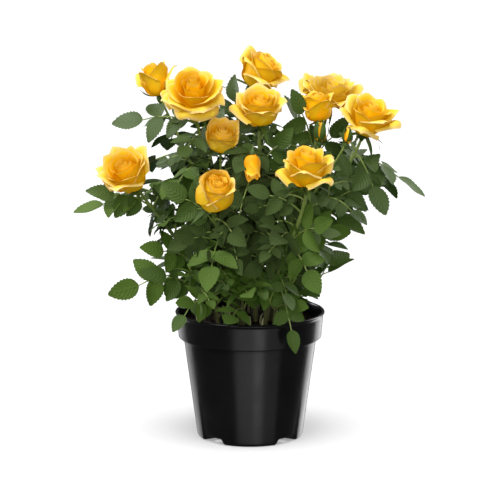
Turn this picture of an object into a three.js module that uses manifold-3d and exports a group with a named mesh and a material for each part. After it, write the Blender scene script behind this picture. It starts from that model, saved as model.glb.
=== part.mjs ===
// A potted rose bush: yellow blooms on thin green canes that rise from a black nursery pot.
// Millimetres, +Z up. The origin is the middle of the pot's flat underside.
import * as THREE from "three";
import { mergeVertices } from "three/addons/utils/BufferGeometryUtils.js";
import Module from "manifold-3d";

const wasm = await Module();
wasm.setup();

// Driving sizes of the pot
const potHeight = 102.5;
const rimRadius = 60;
const rimBandHeight = 2;
const collarHeight = 21;
const collarFootRadius = 57.5;
const wallTopRadius = 53.5;
const footRadius = 42.5;
const footRounding = 2.5;
const wallThickness = 1.3;
const potSides = 32;
const channelHeight = 4.2;
const channelInner = 26;
const channelHalfTurn = 13;
const channelTurns = [45, 135, 225, 315];
const drainHoleRadius = 3.5;
const drainHoleReach = 35;

// Driving sizes of the soil and the limbs. caneShare is the share of a cane below its crown.
const soilHeight = 94;
const meetingGap = 0.3;
const caneFootRadius = 1.9;
const caneTipRadius = 1.25;
const neckRadius = 0.95;
const twigRadius = 0.9;
const caneSides = 5;
const caneShare = 0.3;
const limbPieces = 3;
const stemPieces = 5;
const twigPieces = 3;
const footReachMost = 30;
const footReachLeast = 5;
const twigStartShare = 0.5;
const skirtFootReach = 37;
const skirtTipReach = 48;
const skirtRise = 40;

// Driving sizes of the leaves
const terminalLeaflet = 32;
const leafReach = 64;
const leafletWidthShare = 0.6;
const leafletWidestAt = 0.42;
const leafletFold = 0.16;
const leafletSag = 0.06;
const leafletThickness = 0.75;
const leafletRootDepth = 0.35;
const outerPairShare = 0.74;
const outerPairSwing = 62;
const outerPairSize = 0.82;
const innerPairShare = 0.3;
const innerPairSwing = 70;
const innerPairSize = 0.66;
const rachisRadius = 0.85;
const leafArch = 0.12;
const sideLeafletDroop = 0.32;
const nodeSpacing = 22;
const goldenTurn = 137.5;
const leafySpan = [0.36, 0.86];
const crowding = 0.85;

// Driving sizes of the blooms
const petalWidthShare = 0.36;
const petalThickness = 0.9;
const heartSides = 6;

const up = new THREE.Vector3(0, 0, 1);
const radians = THREE.MathUtils.degToRad;

// A repeatable number from 0 to 1 for each seed and draw
function chance(seed, draw) {
  let h = Math.imul(seed + 1, 374761393) ^ Math.imul(draw + 1, 668265263);
  h = Math.imul(h ^ (h >>> 15), 2246822519);
  h = Math.imul(h ^ (h >>> 13), 3266489917);
  return ((h ^ (h >>> 16)) >>> 0) / 4294967296;
}

function between(seed, draw, low, high) {
  return low + (high - low) * chance(seed, draw);
}

function smooth(x) {
  const t = Math.min(1, Math.max(0, x));
  return t * t * (3 - 2 * t);
}

// A direction from its lean off the vertical and the compass turn it faces, in degrees
function leaning(lean, turn) {
  return new THREE.Vector3(
    Math.sin(radians(lean)) * Math.cos(radians(turn)),
    Math.sin(radians(lean)) * Math.sin(radians(turn)),
    Math.cos(radians(lean)),
  );
}

// The blooms: the middle of each cup, its width, how far it has opened (0 is a bud, 1 is flat),
// how far it leans off the vertical and the turn it faces (-90 is the front, 0 the right).
function bloom(x, y, z, width, open, lean, turn) {
  return { at: new THREE.Vector3(x, y, z), width, open, lean, turn };
}

// Each cane carries one crown of shoots: its blooms, and the tips of the long leaves that
// give the bush its outline. The first bloom ends the cane's own stem, the others end side twigs.
const canes = [
  {
    name: "far_left",
    blooms: [bloom(-98, -20, 217, 42, 0.65, 45, -120)],
    tips: [[-140, -10, 187], [-84, -34, 160], [-128, -22, 203]],
  },
  {
    name: "left",
    blooms: [bloom(-44, -25, 280, 53, 0.85, 38, -95), bloom(-77, 10, 291, 27, 0.3, 12, 180)],
    tips: [[-110, 2, 254], [-74, -22, 206], [-22, 28, 262]],
  },
  {
    name: "front_left",
    blooms: [bloom(-26, -82, 210, 34, 0.4, 50, -80), bloom(-24, -15, 244, 28, 0.35, 40, -80)],
    tips: [[-58, -84, 178], [-66, -70, 215]],
  },
  {
    name: "middle",
    blooms: [bloom(8, -12, 268, 38, 0.6, 25, -90), bloom(2, -50, 226, 16, 0.2, 118, -90)],
    tips: [[32, -34, 252], [-10, -62, 226]],
  },
  {
    name: "back_middle",
    blooms: [bloom(10, 30, 293, 38, 0.5, 35, -20), bloom(8, 104, 252, 36, 0.7, 40, 70)],
    tips: [[-14, 20, 292], [12, 132, 206]],
  },
  {
    name: "front_right",
    blooms: [bloom(43, -78, 228, 45, 0.75, 15, -90)],
    tips: [[62, -90, 190], [18, -108, 178]],
  },
  {
    name: "right",
    blooms: [
      bloom(53, -5, 267, 24, 0.2, 10, -100),
      bloom(55, -27, 248, 11, 0, 5, 0),
      bloom(75, -40, 247, 8, 0, 8, 0),
    ],
    tips: [[84, -28, 176], [30, -20, 288]],
  },
  {
    name: "back_right",
    blooms: [bloom(66, 35, 275, 46, 1, 20, -60)],
    tips: [[28, 32, 272], [96, 52, 226]],
  },
  {
    name: "far_right",
    blooms: [bloom(93, -15, 260, 48, 0.75, 22, -70)],
    tips: [[102, -10, 229], [140, -6, 200], [107, -14, 212], [106, -30, 184]],
  },
  {
    name: "rear_left",
    blooms: [bloom(-47, 95, 266, 38, 0.65, 38, 115), bloom(-102, 70, 203, 34, 0.45, 40, 150)],
    tips: [[-124, 84, 190], [-62, 128, 186]],
  },
  {
    name: "rear_right",
    blooms: [bloom(98, 90, 247, 32, 0.55, 38, 45), bloom(48, 100, 203, 38, 0.7, 45, 80)],
    tips: [[126, 92, 182], [80, 130, 176]],
  },
];

// Low leafy shoots that rise from the soil and hang their leaves over the rim
const skirts = [
  { name: "skirt_left", turn: 182, tips: [[-112, -26, 118], [-84, -34, 140]] },
  { name: "skirt_front_left", turn: 228, tips: [[-60, -58, 97], [-56, -66, 122]] },
  { name: "skirt_front", turn: 262, tips: [[-18, -84, 110], [0, -98, 136]] },
  { name: "skirt_front_right", turn: 300, tips: [[36, -64, 82], [44, -62, 118]] },
  { name: "skirt_right", turn: 332, tips: [[82, -26, 150], [60, -30, 128]] },
  { name: "skirt_back_right", turn: 12, tips: [[92, 44, 134], [66, 58, 112]] },
  { name: "skirt_back", turn: 80, tips: [[22, 100, 140], [-4, 84, 106]] },
  { name: "skirt_back_left", turn: 150, tips: [[-84, 68, 134], [-56, 64, 106]] },
];

// Solids from plain vertices and triangles, turned outwards where they came inside out
function solidOf(vertices, triangles) {
  const make = (faces) =>
    new wasm.Manifold(
      new wasm.Mesh({
        numProp: 3,
        vertProperties: new Float32Array(vertices.flatMap((p) => [p.x, p.y, p.z])),
        triVerts: new Uint32Array(faces.flat()),
      }),
    );
  const made = make(triangles);
  return made.volume() > 0 ? made : make(triangles.map(([a, b, c]) => [a, c, b]));
}

function solidOfGeometry(geometry) {
  const bare = geometry.index ? geometry.toNonIndexed() : geometry.clone();
  bare.deleteAttribute("normal");
  bare.deleteAttribute("uv");
  const merged = mergeVertices(bare, 1e-3);
  return new wasm.Manifold(
    new wasm.Mesh({
      numProp: 3,
      vertProperties: merged.attributes.position.array,
      triVerts: new Uint32Array(merged.index.array),
    }),
  );
}

function geometryOf(solid) {
  const mesh = solid.getMesh();
  const positions = new Float32Array(mesh.numVert * 3);
  for (let i = 0; i < mesh.numVert; i++) {
    positions.set(mesh.vertProperties.subarray(i * mesh.numProp, i * mesh.numProp + 3), i * 3);
  }
  const geometry = new THREE.BufferGeometry();
  geometry.setAttribute("position", new THREE.BufferAttribute(positions, 3));
  geometry.setIndex(new THREE.BufferAttribute(mesh.triVerts, 1));
  geometry.computeVertexNormals();
  return geometry;
}

function lathe(profile, sides) {
  const geometry = new THREE.LatheGeometry(profile.map(([r, z]) => new THREE.Vector2(r, z)), sides);
  return solidOfGeometry(geometry.rotateX(Math.PI / 2));
}

// Pot: a tapered wall, a collar that steps out under the rim, and a floor lifted into four
// drain channels, so that it stands on its middle and four feet.
function channel(grow) {
  const below = 5;
  const half = radians(channelHalfTurn);
  const corner = (reach, side) =>
    new THREE.Vector2(reach * Math.cos(half), side * (reach * Math.sin(half) + grow));
  const [inner, outer] = [channelInner - grow, footRadius + 12];
  const shape = new THREE.Shape([corner(inner, -1), corner(outer, -1), corner(outer, 1), corner(inner, 1)]);
  const depth = channelHeight + grow + below;
  const block = new THREE.ExtrudeGeometry(shape, { depth, bevelEnabled: false });
  return solidOfGeometry(block.translate(0, 0, -below));
}

function channels(grow) {
  return wasm.Manifold.union(channelTurns.map((turn) => channel(grow).rotate([0, 0, turn])));
}

function wallRadius(z) {
  return footRadius + ((wallTopRadius - footRadius) * z) / (potHeight - collarHeight);
}

function potSolid() {
  const collarFoot = potHeight - collarHeight;
  const outside = lathe(
    [
      [0, 0],
      [footRadius - footRounding, 0],
      [footRadius - 0.3 * footRounding, 0.3 * footRounding],
      [wallRadius(footRounding), footRounding],
      [wallTopRadius, collarFoot - 1],
      [collarFootRadius, collarFoot],
      [rimRadius - 1, potHeight - rimBandHeight - 1],
      [rimRadius, potHeight - rimBandHeight],
      [rimRadius, potHeight],
      [0, potHeight],
    ],
    potSides,
  );
  const inside = lathe(
    [
      [0, wallThickness],
      [wallRadius(wallThickness) - wallThickness, wallThickness],
      [wallTopRadius - wallThickness, collarFoot],
      [collarFootRadius - wallThickness, collarFoot + 2],
      [rimRadius - wallThickness, potHeight + 1],
      [0, potHeight + 1],
    ],
    potSides,
  ).subtract(channels(wallThickness));
  const holes = channelTurns.map((turn) => {
    const hole = new THREE.CylinderGeometry(drainHoleRadius, drainHoleRadius, 20, 12);
    hole.rotateX(Math.PI / 2);
    hole.translate(drainHoleReach * Math.cos(radians(turn)), drainHoleReach * Math.sin(radians(turn)), 0);
    return solidOfGeometry(hole);
  });
  return outside.subtract(inside).subtract(channels(0)).subtract(wasm.Manifold.union(holes));
}

// Soil: fills the pot from just over its drain channels to a little under the rim
function soilSolid() {
  const gap = wallThickness + meetingGap;
  const collarFoot = potHeight - collarHeight;
  const bed = channelHeight + gap;
  return lathe(
    [
      [0, bed],
      [wallRadius(bed) - gap - 0.2, bed],
      [wallTopRadius - gap - 0.2, collarFoot + 0.5],
      [collarFootRadius - gap - 0.5, collarFoot + 4],
      [collarFootRadius - gap - 0.5, soilHeight - 1],
      [collarFootRadius - gap - 4, soilHeight],
      [0, soilHeight],
    ],
    potSides,
  );
}

// Shares from one end to another in even steps
function evenShares(from, to, steps) {
  return Array.from({ length: steps + 1 }, (_, i) => from + ((to - from) * i) / steps);
}

// A stem is drawn as straight pieces between some shares of a curve, and what grows from it
// starts on those pieces, so that it is rooted in the wood.
function stemOf(curve, shares) {
  const points = shares.map((t) => curve.getPoint(t));
  const at = (t) => {
    const above = Math.max(1, shares.findIndex((share) => share >= t));
    const part = (t - shares[above - 1]) / (shares[above] - shares[above - 1]);
    return points[above - 1].clone().lerp(points[above], part);
  };
  return { curve, shares, at };
}

// Limbs: rings of points round a curve at the given shares of its length
function ringsAlong(curve, shares, radiusAt, sides) {
  const first = curve.getTangent(shares[0]);
  const across = Math.abs(first.x) < 0.9 ? new THREE.Vector3(1, 0, 0) : up;
  const side = new THREE.Vector3().crossVectors(first, across).normalize();
  return shares.map((t) => {
    const tangent = curve.getTangent(t);
    side.addScaledVector(tangent, -side.dot(tangent)).normalize();
    const other = new THREE.Vector3().crossVectors(tangent, side);
    return Array.from({ length: sides }, (_, j) => {
      const turn = (2 * Math.PI * j) / sides;
      const point = curve.getPoint(t).addScaledVector(side, radiusAt(t) * Math.cos(turn));
      return point.addScaledVector(other, radiusAt(t) * Math.sin(turn));
    });
  });
}

// Skin over rings that all have the same number of points. Each patch between two rings is cut
// along its shorter diagonal, so both faces of a thin blade fold alike. A pointed end is a last
// single point.
function skin(rings, point) {
  const sides = rings[0].length;
  const vertices = rings.flat();
  const triangles = [];
  const last = (rings.length - 1) * sides;
  const apart = (i, j) => vertices[i].distanceTo(vertices[j]);
  for (let a = 0; a < last; a++) {
    const b = (a % sides) + 1 === sides ? a + 1 - sides : a + 1;
    if (apart(a, b + sides) < apart(b, a + sides)) {
      triangles.push([a, b, b + sides], [a, b + sides, a + sides]);
    } else {
      triangles.push([a, b, a + sides], [b, b + sides, a + sides]);
    }
  }
  for (let j = 1; j < sides - 1; j++) {
    triangles.push([0, j + 1, j]);
    if (!point) {
      triangles.push([last, last + j, last + j + 1]);
    }
  }
  if (point) {
    vertices.push(point);
    for (let j = 0; j < sides; j++) {
      triangles.push([last + j, last + ((j + 1) % sides), vertices.length - 1]);
    }
  }
  return solidOf(vertices, triangles);
}

function tube(curve, shares, radiusAt, sides) {
  return skin(ringsAlong(curve, shares, radiusAt, sides));
}

// The line of a cane: up out of the soil, bending out to the bloom's neck
function caneLine(foot, neck, axis) {
  const length = foot.distanceTo(neck);
  const rise = foot.clone().addScaledVector(up, 0.34 * length);
  rise.addScaledVector(new THREE.Vector3(neck.x - foot.x, neck.y - foot.y, 0), 0.12);
  const arrive = neck.clone().addScaledVector(axis, -0.24 * length);
  return new THREE.CubicBezierCurve3(foot, rise, arrive, neck);
}

function caneRadius(t) {
  return t < caneShare
    ? caneFootRadius + ((caneTipRadius - caneFootRadius) * t) / caneShare
    : caneTipRadius + ((neckRadius - caneTipRadius) * (t - caneShare)) / (1 - caneShare);
}

// The foot of a cane stands in the soil on the side that the cane leans to
function footOf(target) {
  const out = Math.hypot(target.x, target.y);
  const reach = Math.min(footReachMost, footReachLeast + 0.22 * out);
  return new THREE.Vector3((target.x / out) * reach, (target.y / out) * reach, soilHeight + meetingGap);
}

function neckOf(flower) {
  const axis = leaning(flower.lean, flower.turn);
  return flower.at.clone().addScaledVector(axis, -flower.width * (0.52 - 0.3 * flower.open) - 1);
}

// Bloom: petals are strips carried up a profile that leans out, cups and curls at its tip,
// round a closed heart. share is 0 for the innermost petal and 1 for the outermost.
// lift moves the point out of the petal's surface, towards its outer side.
function petalPoint(flower, share, u, v, lift) {
  const open = flower.open;
  const length = flower.width * (1.22 - 0.7 * open) * (0.74 + 0.26 * share);
  const middleLean = radians(open * 74 * Math.pow(share, 1.15) - 5 * (1 - share));
  const footLean = middleLean + radians(34 * share + 16 * open);
  const tipCurl = radians(92 * open * Math.pow(share, 1.4));
  const top = 1 - 0.2 * Math.pow(Math.abs(u), 2.2);
  const steps = 16;
  let r = 0.6 + 1.1 * share;
  let h = 1.5 * (1 - share);
  let lean = footLean;
  for (let i = 0; i < steps; i++) {
    const at = (v * top * (i + 0.5)) / steps;
    const curl = Math.max(0, (at - 0.55) / 0.45);
    lean = footLean + (middleLean - footLean) * smooth(at / 0.6) + tipCurl * curl * curl;
    r += (Math.sin(lean) * length * v * top) / steps;
    h += (Math.cos(lean) * length * v * top) / steps;
  }
  const half = length * petalWidthShare * (0.3 + 0.7 * smooth((v * top) / 0.62));
  const wrap = Math.max(r * (1 + 0.55 * share * open), 0.16 * flower.width);
  const turn = (u * half) / wrap;
  const out = lift * Math.cos(lean);
  return new THREE.Vector3(
    r - wrap + (wrap + out) * Math.cos(turn),
    (wrap + out) * Math.sin(turn),
    h - lift * Math.sin(lean),
  );
}

function petalSolid(flower, share, turn) {
  const pointAt = (u, v, lift) => petalPoint(flower, share, u, v, lift).applyAxisAngle(up, turn);
  const loopAt = (v) => [
    ...[0, 1].map((u) => pointAt(u, v, 0)),
    ...[1, 0, -1].map((u) => pointAt(u, v, petalThickness)),
    pointAt(-1, v, 0),
  ];
  return skin([loopAt(1), loopAt(0.55)], pointAt(0, 0, 0));
}

// The closed heart of the bloom, or the whole of a bud, with a swollen hip under it
function heartSolid(flower) {
  const width = flower.width * (0.9 - 0.5 * flower.open);
  const height = flower.width * (1.22 - 0.7 * flower.open) * (flower.open > 0.15 ? 0.86 : 1.4);
  const hip = Math.min(3.2, 0.2 * flower.width + 0.6);
  return lathe(
    [
      [0, -2.6],
      [hip, 0],
      [width * 0.46, height * 0.45],
      [width * 0.36, height * 0.85],
      [0, height],
    ],
    heartSides,
  );
}

function bloomSolid(flower, seed) {
  const parts = [heartSolid(flower)];
  const petals = flower.open > 0.55 ? 5 : flower.open > 0.25 ? 3 : 0;
  for (let i = 0; i < petals; i++) {
    const turn = radians((360 * i) / petals + between(seed, i, -12, 12));
    parts.push(petalSolid(flower, 1 - (0.25 * (i % 2)) / 2, turn));
  }
  const stand = new THREE.Quaternion().setFromUnitVectors(up, leaning(flower.lean, flower.turn));
  const matrix = new THREE.Matrix4().compose(neckOf(flower), stand, new THREE.Vector3(1, 1, 1));
  return wasm.Manifold.union(parts).transform(matrix.elements);
}

// Leaves: three or five leaflets on a thin arching rachis. A side leaflet is a flat eight-faced
// blade, folded a little along its midrib, with its root sunk in the rachis.
function placeOn(leaflet, forward, side, lift) {
  return leaflet.root
    .clone()
    .addScaledVector(leaflet.along, forward)
    .addScaledVector(leaflet.across, side)
    .addScaledVector(leaflet.normal, lift);
}

function sideLeafletSolid(leaflet) {
  const { length } = leaflet;
  const half = 0.5 * length * leafletWidthShare;
  const widest = leafletWidestAt * length;
  const vertices = [
    placeOn(leaflet, -leafletRootDepth, 0, 0),
    placeOn(leaflet, length, 0, -leafletSag * length),
    placeOn(leaflet, widest, -half, leafletFold * half),
    placeOn(leaflet, widest, half, leafletFold * half),
    placeOn(leaflet, widest, 0, 0.5 * leafletThickness),
    placeOn(leaflet, widest, 0, -0.5 * leafletThickness),
  ];
  const triangles = [
    [0, 3, 4], [3, 1, 4], [1, 2, 4], [2, 0, 4],
    [3, 0, 5], [1, 3, 5], [2, 1, 5], [0, 2, 5],
  ];
  return solidOf(vertices, triangles);
}

// The rachis runs on into the end leaflet: its last ring flattens out into the blade
function stalkSolid(leaf) {
  const [end] = leaf.leaflets;
  const half = 0.5 * end.length * leafletWidthShare;
  const pairs = leaf.leaflets.length > 3 ? [innerPairShare, outerPairShare] : [outerPairShare];
  const rings = ringsAlong(leaf.rachis, [0, ...pairs, 1], (t) => rachisRadius * (1 - 0.3 * t), 3);
  const last = rings.at(-1);
  const widest = leafletWidestAt * end.length;
  const corners = [
    placeOn(end, widest, half, leafletFold * half),
    placeOn(end, widest, -half, leafletFold * half),
    placeOn(end, widest, 0, -0.5 * leafletThickness),
  ];
  const spins = [0, 1, 2].map((k) => [0, 1, 2].map((j) => corners[(j + k) % 3]));
  const travel = (ring) => ring.reduce((sum, p, j) => sum + p.distanceTo(last[j]), 0);
  rings.push(spins.sort((a, b) => travel(a) - travel(b))[0]);
  return skin(rings, placeOn(end, end.length, 0, -leafletSag * end.length));
}

// A whole leaf from its foot on the stem to its tip, as a rachis curve and its leaflets.
// roll turns its face about its length, in degrees.
function planLeaf(foot, tip, count, roll) {
  const span = tip.clone().sub(foot);
  const reach = span.length();
  const size = Math.min(terminalLeaflet, reach * 0.52);
  const heading = span.clone().normalize();
  const end = tip.clone().addScaledVector(heading, -size);
  end.addScaledVector(up, leafArch * reach);
  const bend = foot.clone().lerp(end, 0.5).addScaledVector(up, leafArch * reach);
  const rachis = new THREE.QuadraticBezierCurve3(foot, bend, end);
  const outward = new THREE.Vector3(tip.x, tip.y, 0).normalize();
  const face = up.clone().multiplyScalar(0.7).addScaledVector(outward, 0.7);
  face.applyAxisAngle(heading, radians(roll));
  const leaflets = [];
  const add = (share, swing, length) => {
    const root = rachis.getPoint(share);
    const forward = share === 1 ? tip.clone().sub(root).normalize() : rachis.getTangent(share);
    const normal = face.clone().addScaledVector(forward, -face.dot(forward)).normalize();
    const along = forward.clone().applyAxisAngle(normal, radians(swing));
    along.addScaledVector(up, share === 1 ? 0 : -sideLeafletDroop).normalize();
    normal.addScaledVector(along, -normal.dot(along)).normalize();
    const across = new THREE.Vector3().crossVectors(normal, along);
    leaflets.push({ root, along, across, normal, length });
  };
  add(1, 0, tip.distanceTo(end));
  for (const side of [-1, 1]) {
    add(outerPairShare, side * outerPairSwing, outerPairSize * size);
    if (count === 5) {
      add(innerPairShare, side * innerPairSwing, innerPairSize * size);
    }
  }
  return { foot, tip, rachis, leaflets };
}

// Room: a leaf keeps its leaflets clear of other leaves, blooms, the pot and the soil
const takenBalls = [];

function ballsOf(leaf, owner) {
  return leaf.leaflets.map((one) => ({
    at: one.root.clone().addScaledVector(one.along, 0.5 * one.length),
    radius: 0.3 * one.length,
    owner,
  }));
}

function outOfPot(point) {
  const out = Math.hypot(point.x, point.y);
  if (out < rimRadius - 4) {
    return point.z > soilHeight + 5;
  }
  return out > rimRadius + 3 || point.z > potHeight + 4;
}

function hasRoom(leaf, owner) {
  const points = leaf.leaflets.map((one) => one.root.clone().addScaledVector(one.along, one.length));
  const balls = ballsOf(leaf, owner);
  if (![...points, ...balls.map((ball) => ball.at)].every(outOfPot)) {
    return false;
  }
  return balls.every((ball) =>
    takenBalls.every((taken) => {
      const share = taken.owner === owner ? 0.85 * crowding : crowding;
      return ball.at.distanceTo(taken.at) > share * (ball.radius + taken.radius);
    }),
  );
}

// Shoots: the stems of every cane and skirt, before any leaf is placed
const shoots = [];

canes.forEach((cane, index) => {
  const main = cane.blooms[0];
  const axis = leaning(Math.min(main.lean, 60), main.turn);
  const shares = evenShares(caneShare, 1, stemPieces);
  const line = stemOf(caneLine(footOf(main.at), neckOf(main), axis), shares);
  const side = cane.blooms.slice(1).map((flower) => {
    const from = line.at(twigStartShare);
    const neck = neckOf(flower);
    const bend = from.clone().lerp(neck, 0.5);
    bend.addScaledVector(leaning(flower.lean, flower.turn), -0.12 * from.distanceTo(neck));
    bend.z = Math.max(bend.z, flower.lean > 90 ? neck.z + 8 : 0);
    return stemOf(new THREE.QuadraticBezierCurve3(from, bend, neck), evenShares(0, 1, twigPieces));
  });
  shoots.push({ ...cane, seed: 100 + index * 17, line, side });
});

skirts.forEach((skirt, index) => {
  const out = leaning(90, skirt.turn);
  const foot = out.clone().multiplyScalar(skirtFootReach).setZ(soilHeight + meetingGap);
  const end = out.clone().multiplyScalar(skirtTipReach).setZ(soilHeight + skirtRise);
  const bend = foot.clone().lerp(end, 0.3).setZ(soilHeight + 0.6 * skirtRise);
  const curve = new THREE.QuadraticBezierCurve3(foot, bend, end);
  const line = stemOf(curve, evenShares(caneShare, 1, twigPieces));
  shoots.push({ ...skirt, seed: 500 + index * 17, line, side: [], blooms: [] });
});

// The share of a stem from which a leaf of usual length reaches a given tip best
function nodeToward(line, tip) {
  const misfit = (t) => Math.abs(line.at(t).distanceTo(tip) - leafReach * 0.9);
  return evenShares(...leafySpan, 20).reduce((best, t) => (misfit(t) < misfit(best) ? t : best));
}

for (const shoot of shoots) {
  for (const flower of shoot.blooms) {
    takenBalls.push({ at: flower.at, radius: 0.5 * flower.width, owner: shoot.name + "_bloom" });
  }
}
for (const shoot of shoots) {
  shoot.leaves = shoot.tips.map(([x, y, z]) => {
    const tip = new THREE.Vector3(x, y, z);
    const foot = shoot.line.at(nodeToward(shoot.line, tip));
    const leaf = planLeaf(foot, tip, shoot.blooms.length ? 5 : 3, 0);
    takenBalls.push(...ballsOf(leaf, shoot.name));
    return leaf;
  });
}

// Fill: nodes climb each stem a golden turn apart, and each tries a few swings for a free place
function fillStem(shoot, line, from, to, seed) {
  const length = line.curve.getLength() * (to - from);
  const nodes = Math.max(1, Math.round(length / nodeSpacing));
  for (let i = 0; i < nodes; i++) {
    const draw = 5 * i;
    const t = from + ((to - from) * (i + 0.5)) / nodes;
    const foot = line.at(t);
    const stem = line.curve.getTangent(t);
    const flat = new THREE.Vector3().crossVectors(stem, new THREE.Vector3(0, 1, 0)).normalize();
    const reach = leafReach * between(seed, draw, 0.76, 1) * (1 - 0.25 * smooth((t - 0.5) / 0.5));
    for (const swing of [0, 40, -40, 80, -80, 130]) {
      const turn = goldenTurn * i + between(seed, draw + 1, -20, 20) + 360 * chance(seed, 999) + swing;
      const out = flat.clone().applyAxisAngle(stem, radians(turn));
      const heading = out.addScaledVector(stem, between(seed, draw + 2, 0.1, 0.6)).normalize();
      const tip = foot.clone().addScaledVector(heading, reach);
      tip.z -= between(seed, draw + 3, 0.15, 0.5) * reach;
      const leaf = planLeaf(foot, tip, 3, between(seed, draw + 4, -35, 35));
      if (hasRoom(leaf, shoot.name)) {
        shoot.leaves.push(leaf);
        takenBalls.push(...ballsOf(leaf, shoot.name));
        break;
      }
    }
  }
}

for (const shoot of shoots) {
  const [from, to] = shoot.blooms.length ? leafySpan : [0.5, 1];
  fillStem(shoot, shoot.line, from, to, shoot.seed);
  shoot.side.forEach((line, k) => fillStem(shoot, line, 0.3, 0.8, shoot.seed + 7 * (k + 1)));
}

// Nodes: pot, soil, then a limb and a leafy crown for each shoot
const colours = {
  pot: new THREE.MeshStandardMaterial({ color: 0x17181a, roughness: 0.38, metalness: 0 }),
  soil: new THREE.MeshStandardMaterial({ color: 0x1c130d, roughness: 0.95, metalness: 0 }),
  cane: new THREE.MeshStandardMaterial({ color: 0x4f6b2c, roughness: 0.6, metalness: 0 }),
  bloom: new THREE.MeshStandardMaterial({ color: 0xf3b51c, roughness: 0.55, metalness: 0 }),
  foliage: new THREE.MeshStandardMaterial({ color: 0x2f5223, roughness: 0.5, metalness: 0 }),
};
const bush = new THREE.Group();
bush.name = "rose_bush";

function addNode(name, solid, material) {
  const mesh = new THREE.Mesh(geometryOf(solid), material);
  mesh.name = name;
  bush.add(mesh);
}

function meets(a, b) {
  const p = a.boundingBox();
  const q = b.boundingBox();
  const apart = [0, 1, 2].some((k) => p.min[k] > q.max[k] + 0.1 || q.min[k] > p.max[k] + 0.1);
  return !apart && !a.intersect(b).isEmpty();
}

function largestOf(solid) {
  return solid.decompose().sort((a, b) => b.volume() - a.volume())[0];
}

const pot = potSolid();
const soil = soilSolid();
addNode("pot", pot, colours.pot);
addNode("soil", soil, colours.soil);

for (const shoot of shoots) {
  const { curve, shares } = shoot.line;
  const end = caneShare - meetingGap / curve.getLength();
  const limbRings = ringsAlong(curve, evenShares(0, end, limbPieces), caneRadius, caneSides);
  limbRings[0].forEach((point) => point.setZ(soilHeight + meetingGap));
  shoot.limb = skin(limbRings);
  shoot.blades = [];
  shoot.wood = [tube(curve, shares, caneRadius, 3)];
  for (const line of shoot.side) {
    shoot.wood.push(tube(line.curve, line.shares, () => twigRadius, 3));
  }
  shoot.blooms.forEach((flower, k) => shoot.wood.push(bloomSolid(flower, shoot.seed + k)));
  addNode((shoot.blooms.length ? "cane_" : "stem_") + shoot.name, shoot.limb, colours.cane);
}

// A leaf that still touches another node is left out whole, or loses the leaflets that touch
const fixed = shoots.flatMap((shoot) => [
  { owner: "limb", solid: shoot.limb },
  ...shoot.wood.map((solid) => ({ owner: shoot.name, solid })),
]);
fixed.push({ owner: "pot", solid: pot }, { owner: "soil", solid: soil });

function touches(solid, owner) {
  return fixed.some((other) => other.owner !== owner && meets(solid, other.solid));
}

const rounds = Math.max(...shoots.map((shoot) => shoot.leaves.length));
for (let round = 0; round < rounds; round++) {
  for (const shoot of shoots) {
    const leaf = shoot.leaves[round];
    if (!leaf) {
      continue;
    }
    const stalk = stalkSolid(leaf);
    if (touches(stalk, shoot.name)) {
      continue;
    }
    const blades = leaf.leaflets
      .slice(1)
      .map(sideLeafletSolid)
      .filter((blade) => !touches(blade, shoot.name) && !shoot.blades.some((one) => meets(blade, one)));
    shoot.blades.push(...blades);
    for (const solid of [stalk, ...blades]) {
      shoot.wood.push(solid);
      fixed.push({ owner: shoot.name, solid });
    }
  }
}

for (const shoot of shoots) {
  const name = shoot.blooms.length ? "crown_" + shoot.name : shoot.name;
  const solid = largestOf(wasm.Manifold.union(shoot.wood));
  addNode(name, solid, shoot.blooms.length ? colours.bloom : colours.foliage);
}

export default bush;
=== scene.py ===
# %% [markdown]
# # A potted rose bush in bloom
# A young rose bush stands in a black nursery pot: thin green canes, five-part leaves and double
# yellow blooms. A bush like this could be sculpted leaf by leaf, scattered over a surface or grown
# by a rule. It is grown by a rule here, because a rule gives every leaf a stem to hang on, fills
# the crown from all sides and can be made finer without placing anything by hand.

# %% Open the frame
import math
import bmesh
import bpy
import numpy as np
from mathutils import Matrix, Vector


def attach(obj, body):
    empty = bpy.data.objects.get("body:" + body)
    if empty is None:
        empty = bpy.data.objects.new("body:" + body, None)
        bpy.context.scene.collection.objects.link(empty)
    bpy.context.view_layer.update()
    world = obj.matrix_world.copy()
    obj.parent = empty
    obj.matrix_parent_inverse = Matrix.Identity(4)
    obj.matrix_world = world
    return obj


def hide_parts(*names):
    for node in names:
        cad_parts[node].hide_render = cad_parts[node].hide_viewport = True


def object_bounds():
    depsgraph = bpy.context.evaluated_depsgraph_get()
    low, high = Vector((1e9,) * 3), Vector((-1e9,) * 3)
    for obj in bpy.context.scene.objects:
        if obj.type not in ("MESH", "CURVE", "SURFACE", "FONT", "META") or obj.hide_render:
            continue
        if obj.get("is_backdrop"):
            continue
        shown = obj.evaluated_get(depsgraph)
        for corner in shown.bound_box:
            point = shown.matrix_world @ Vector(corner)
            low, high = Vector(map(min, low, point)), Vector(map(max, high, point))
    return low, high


MM, MM_PER_M = 0.001, 1000

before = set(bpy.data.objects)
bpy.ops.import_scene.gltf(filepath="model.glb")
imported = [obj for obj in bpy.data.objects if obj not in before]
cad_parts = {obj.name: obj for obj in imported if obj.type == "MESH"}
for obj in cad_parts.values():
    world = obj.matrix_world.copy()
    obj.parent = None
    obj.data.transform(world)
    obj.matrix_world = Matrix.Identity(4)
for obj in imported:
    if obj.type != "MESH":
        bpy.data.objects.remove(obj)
cad_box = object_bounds()
cad_low, cad_high = (np.array(corner) * MM_PER_M for corner in cad_box)
print("plain solids reach from", cad_low.round(1), "to", cad_high.round(1), "mm")

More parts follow.
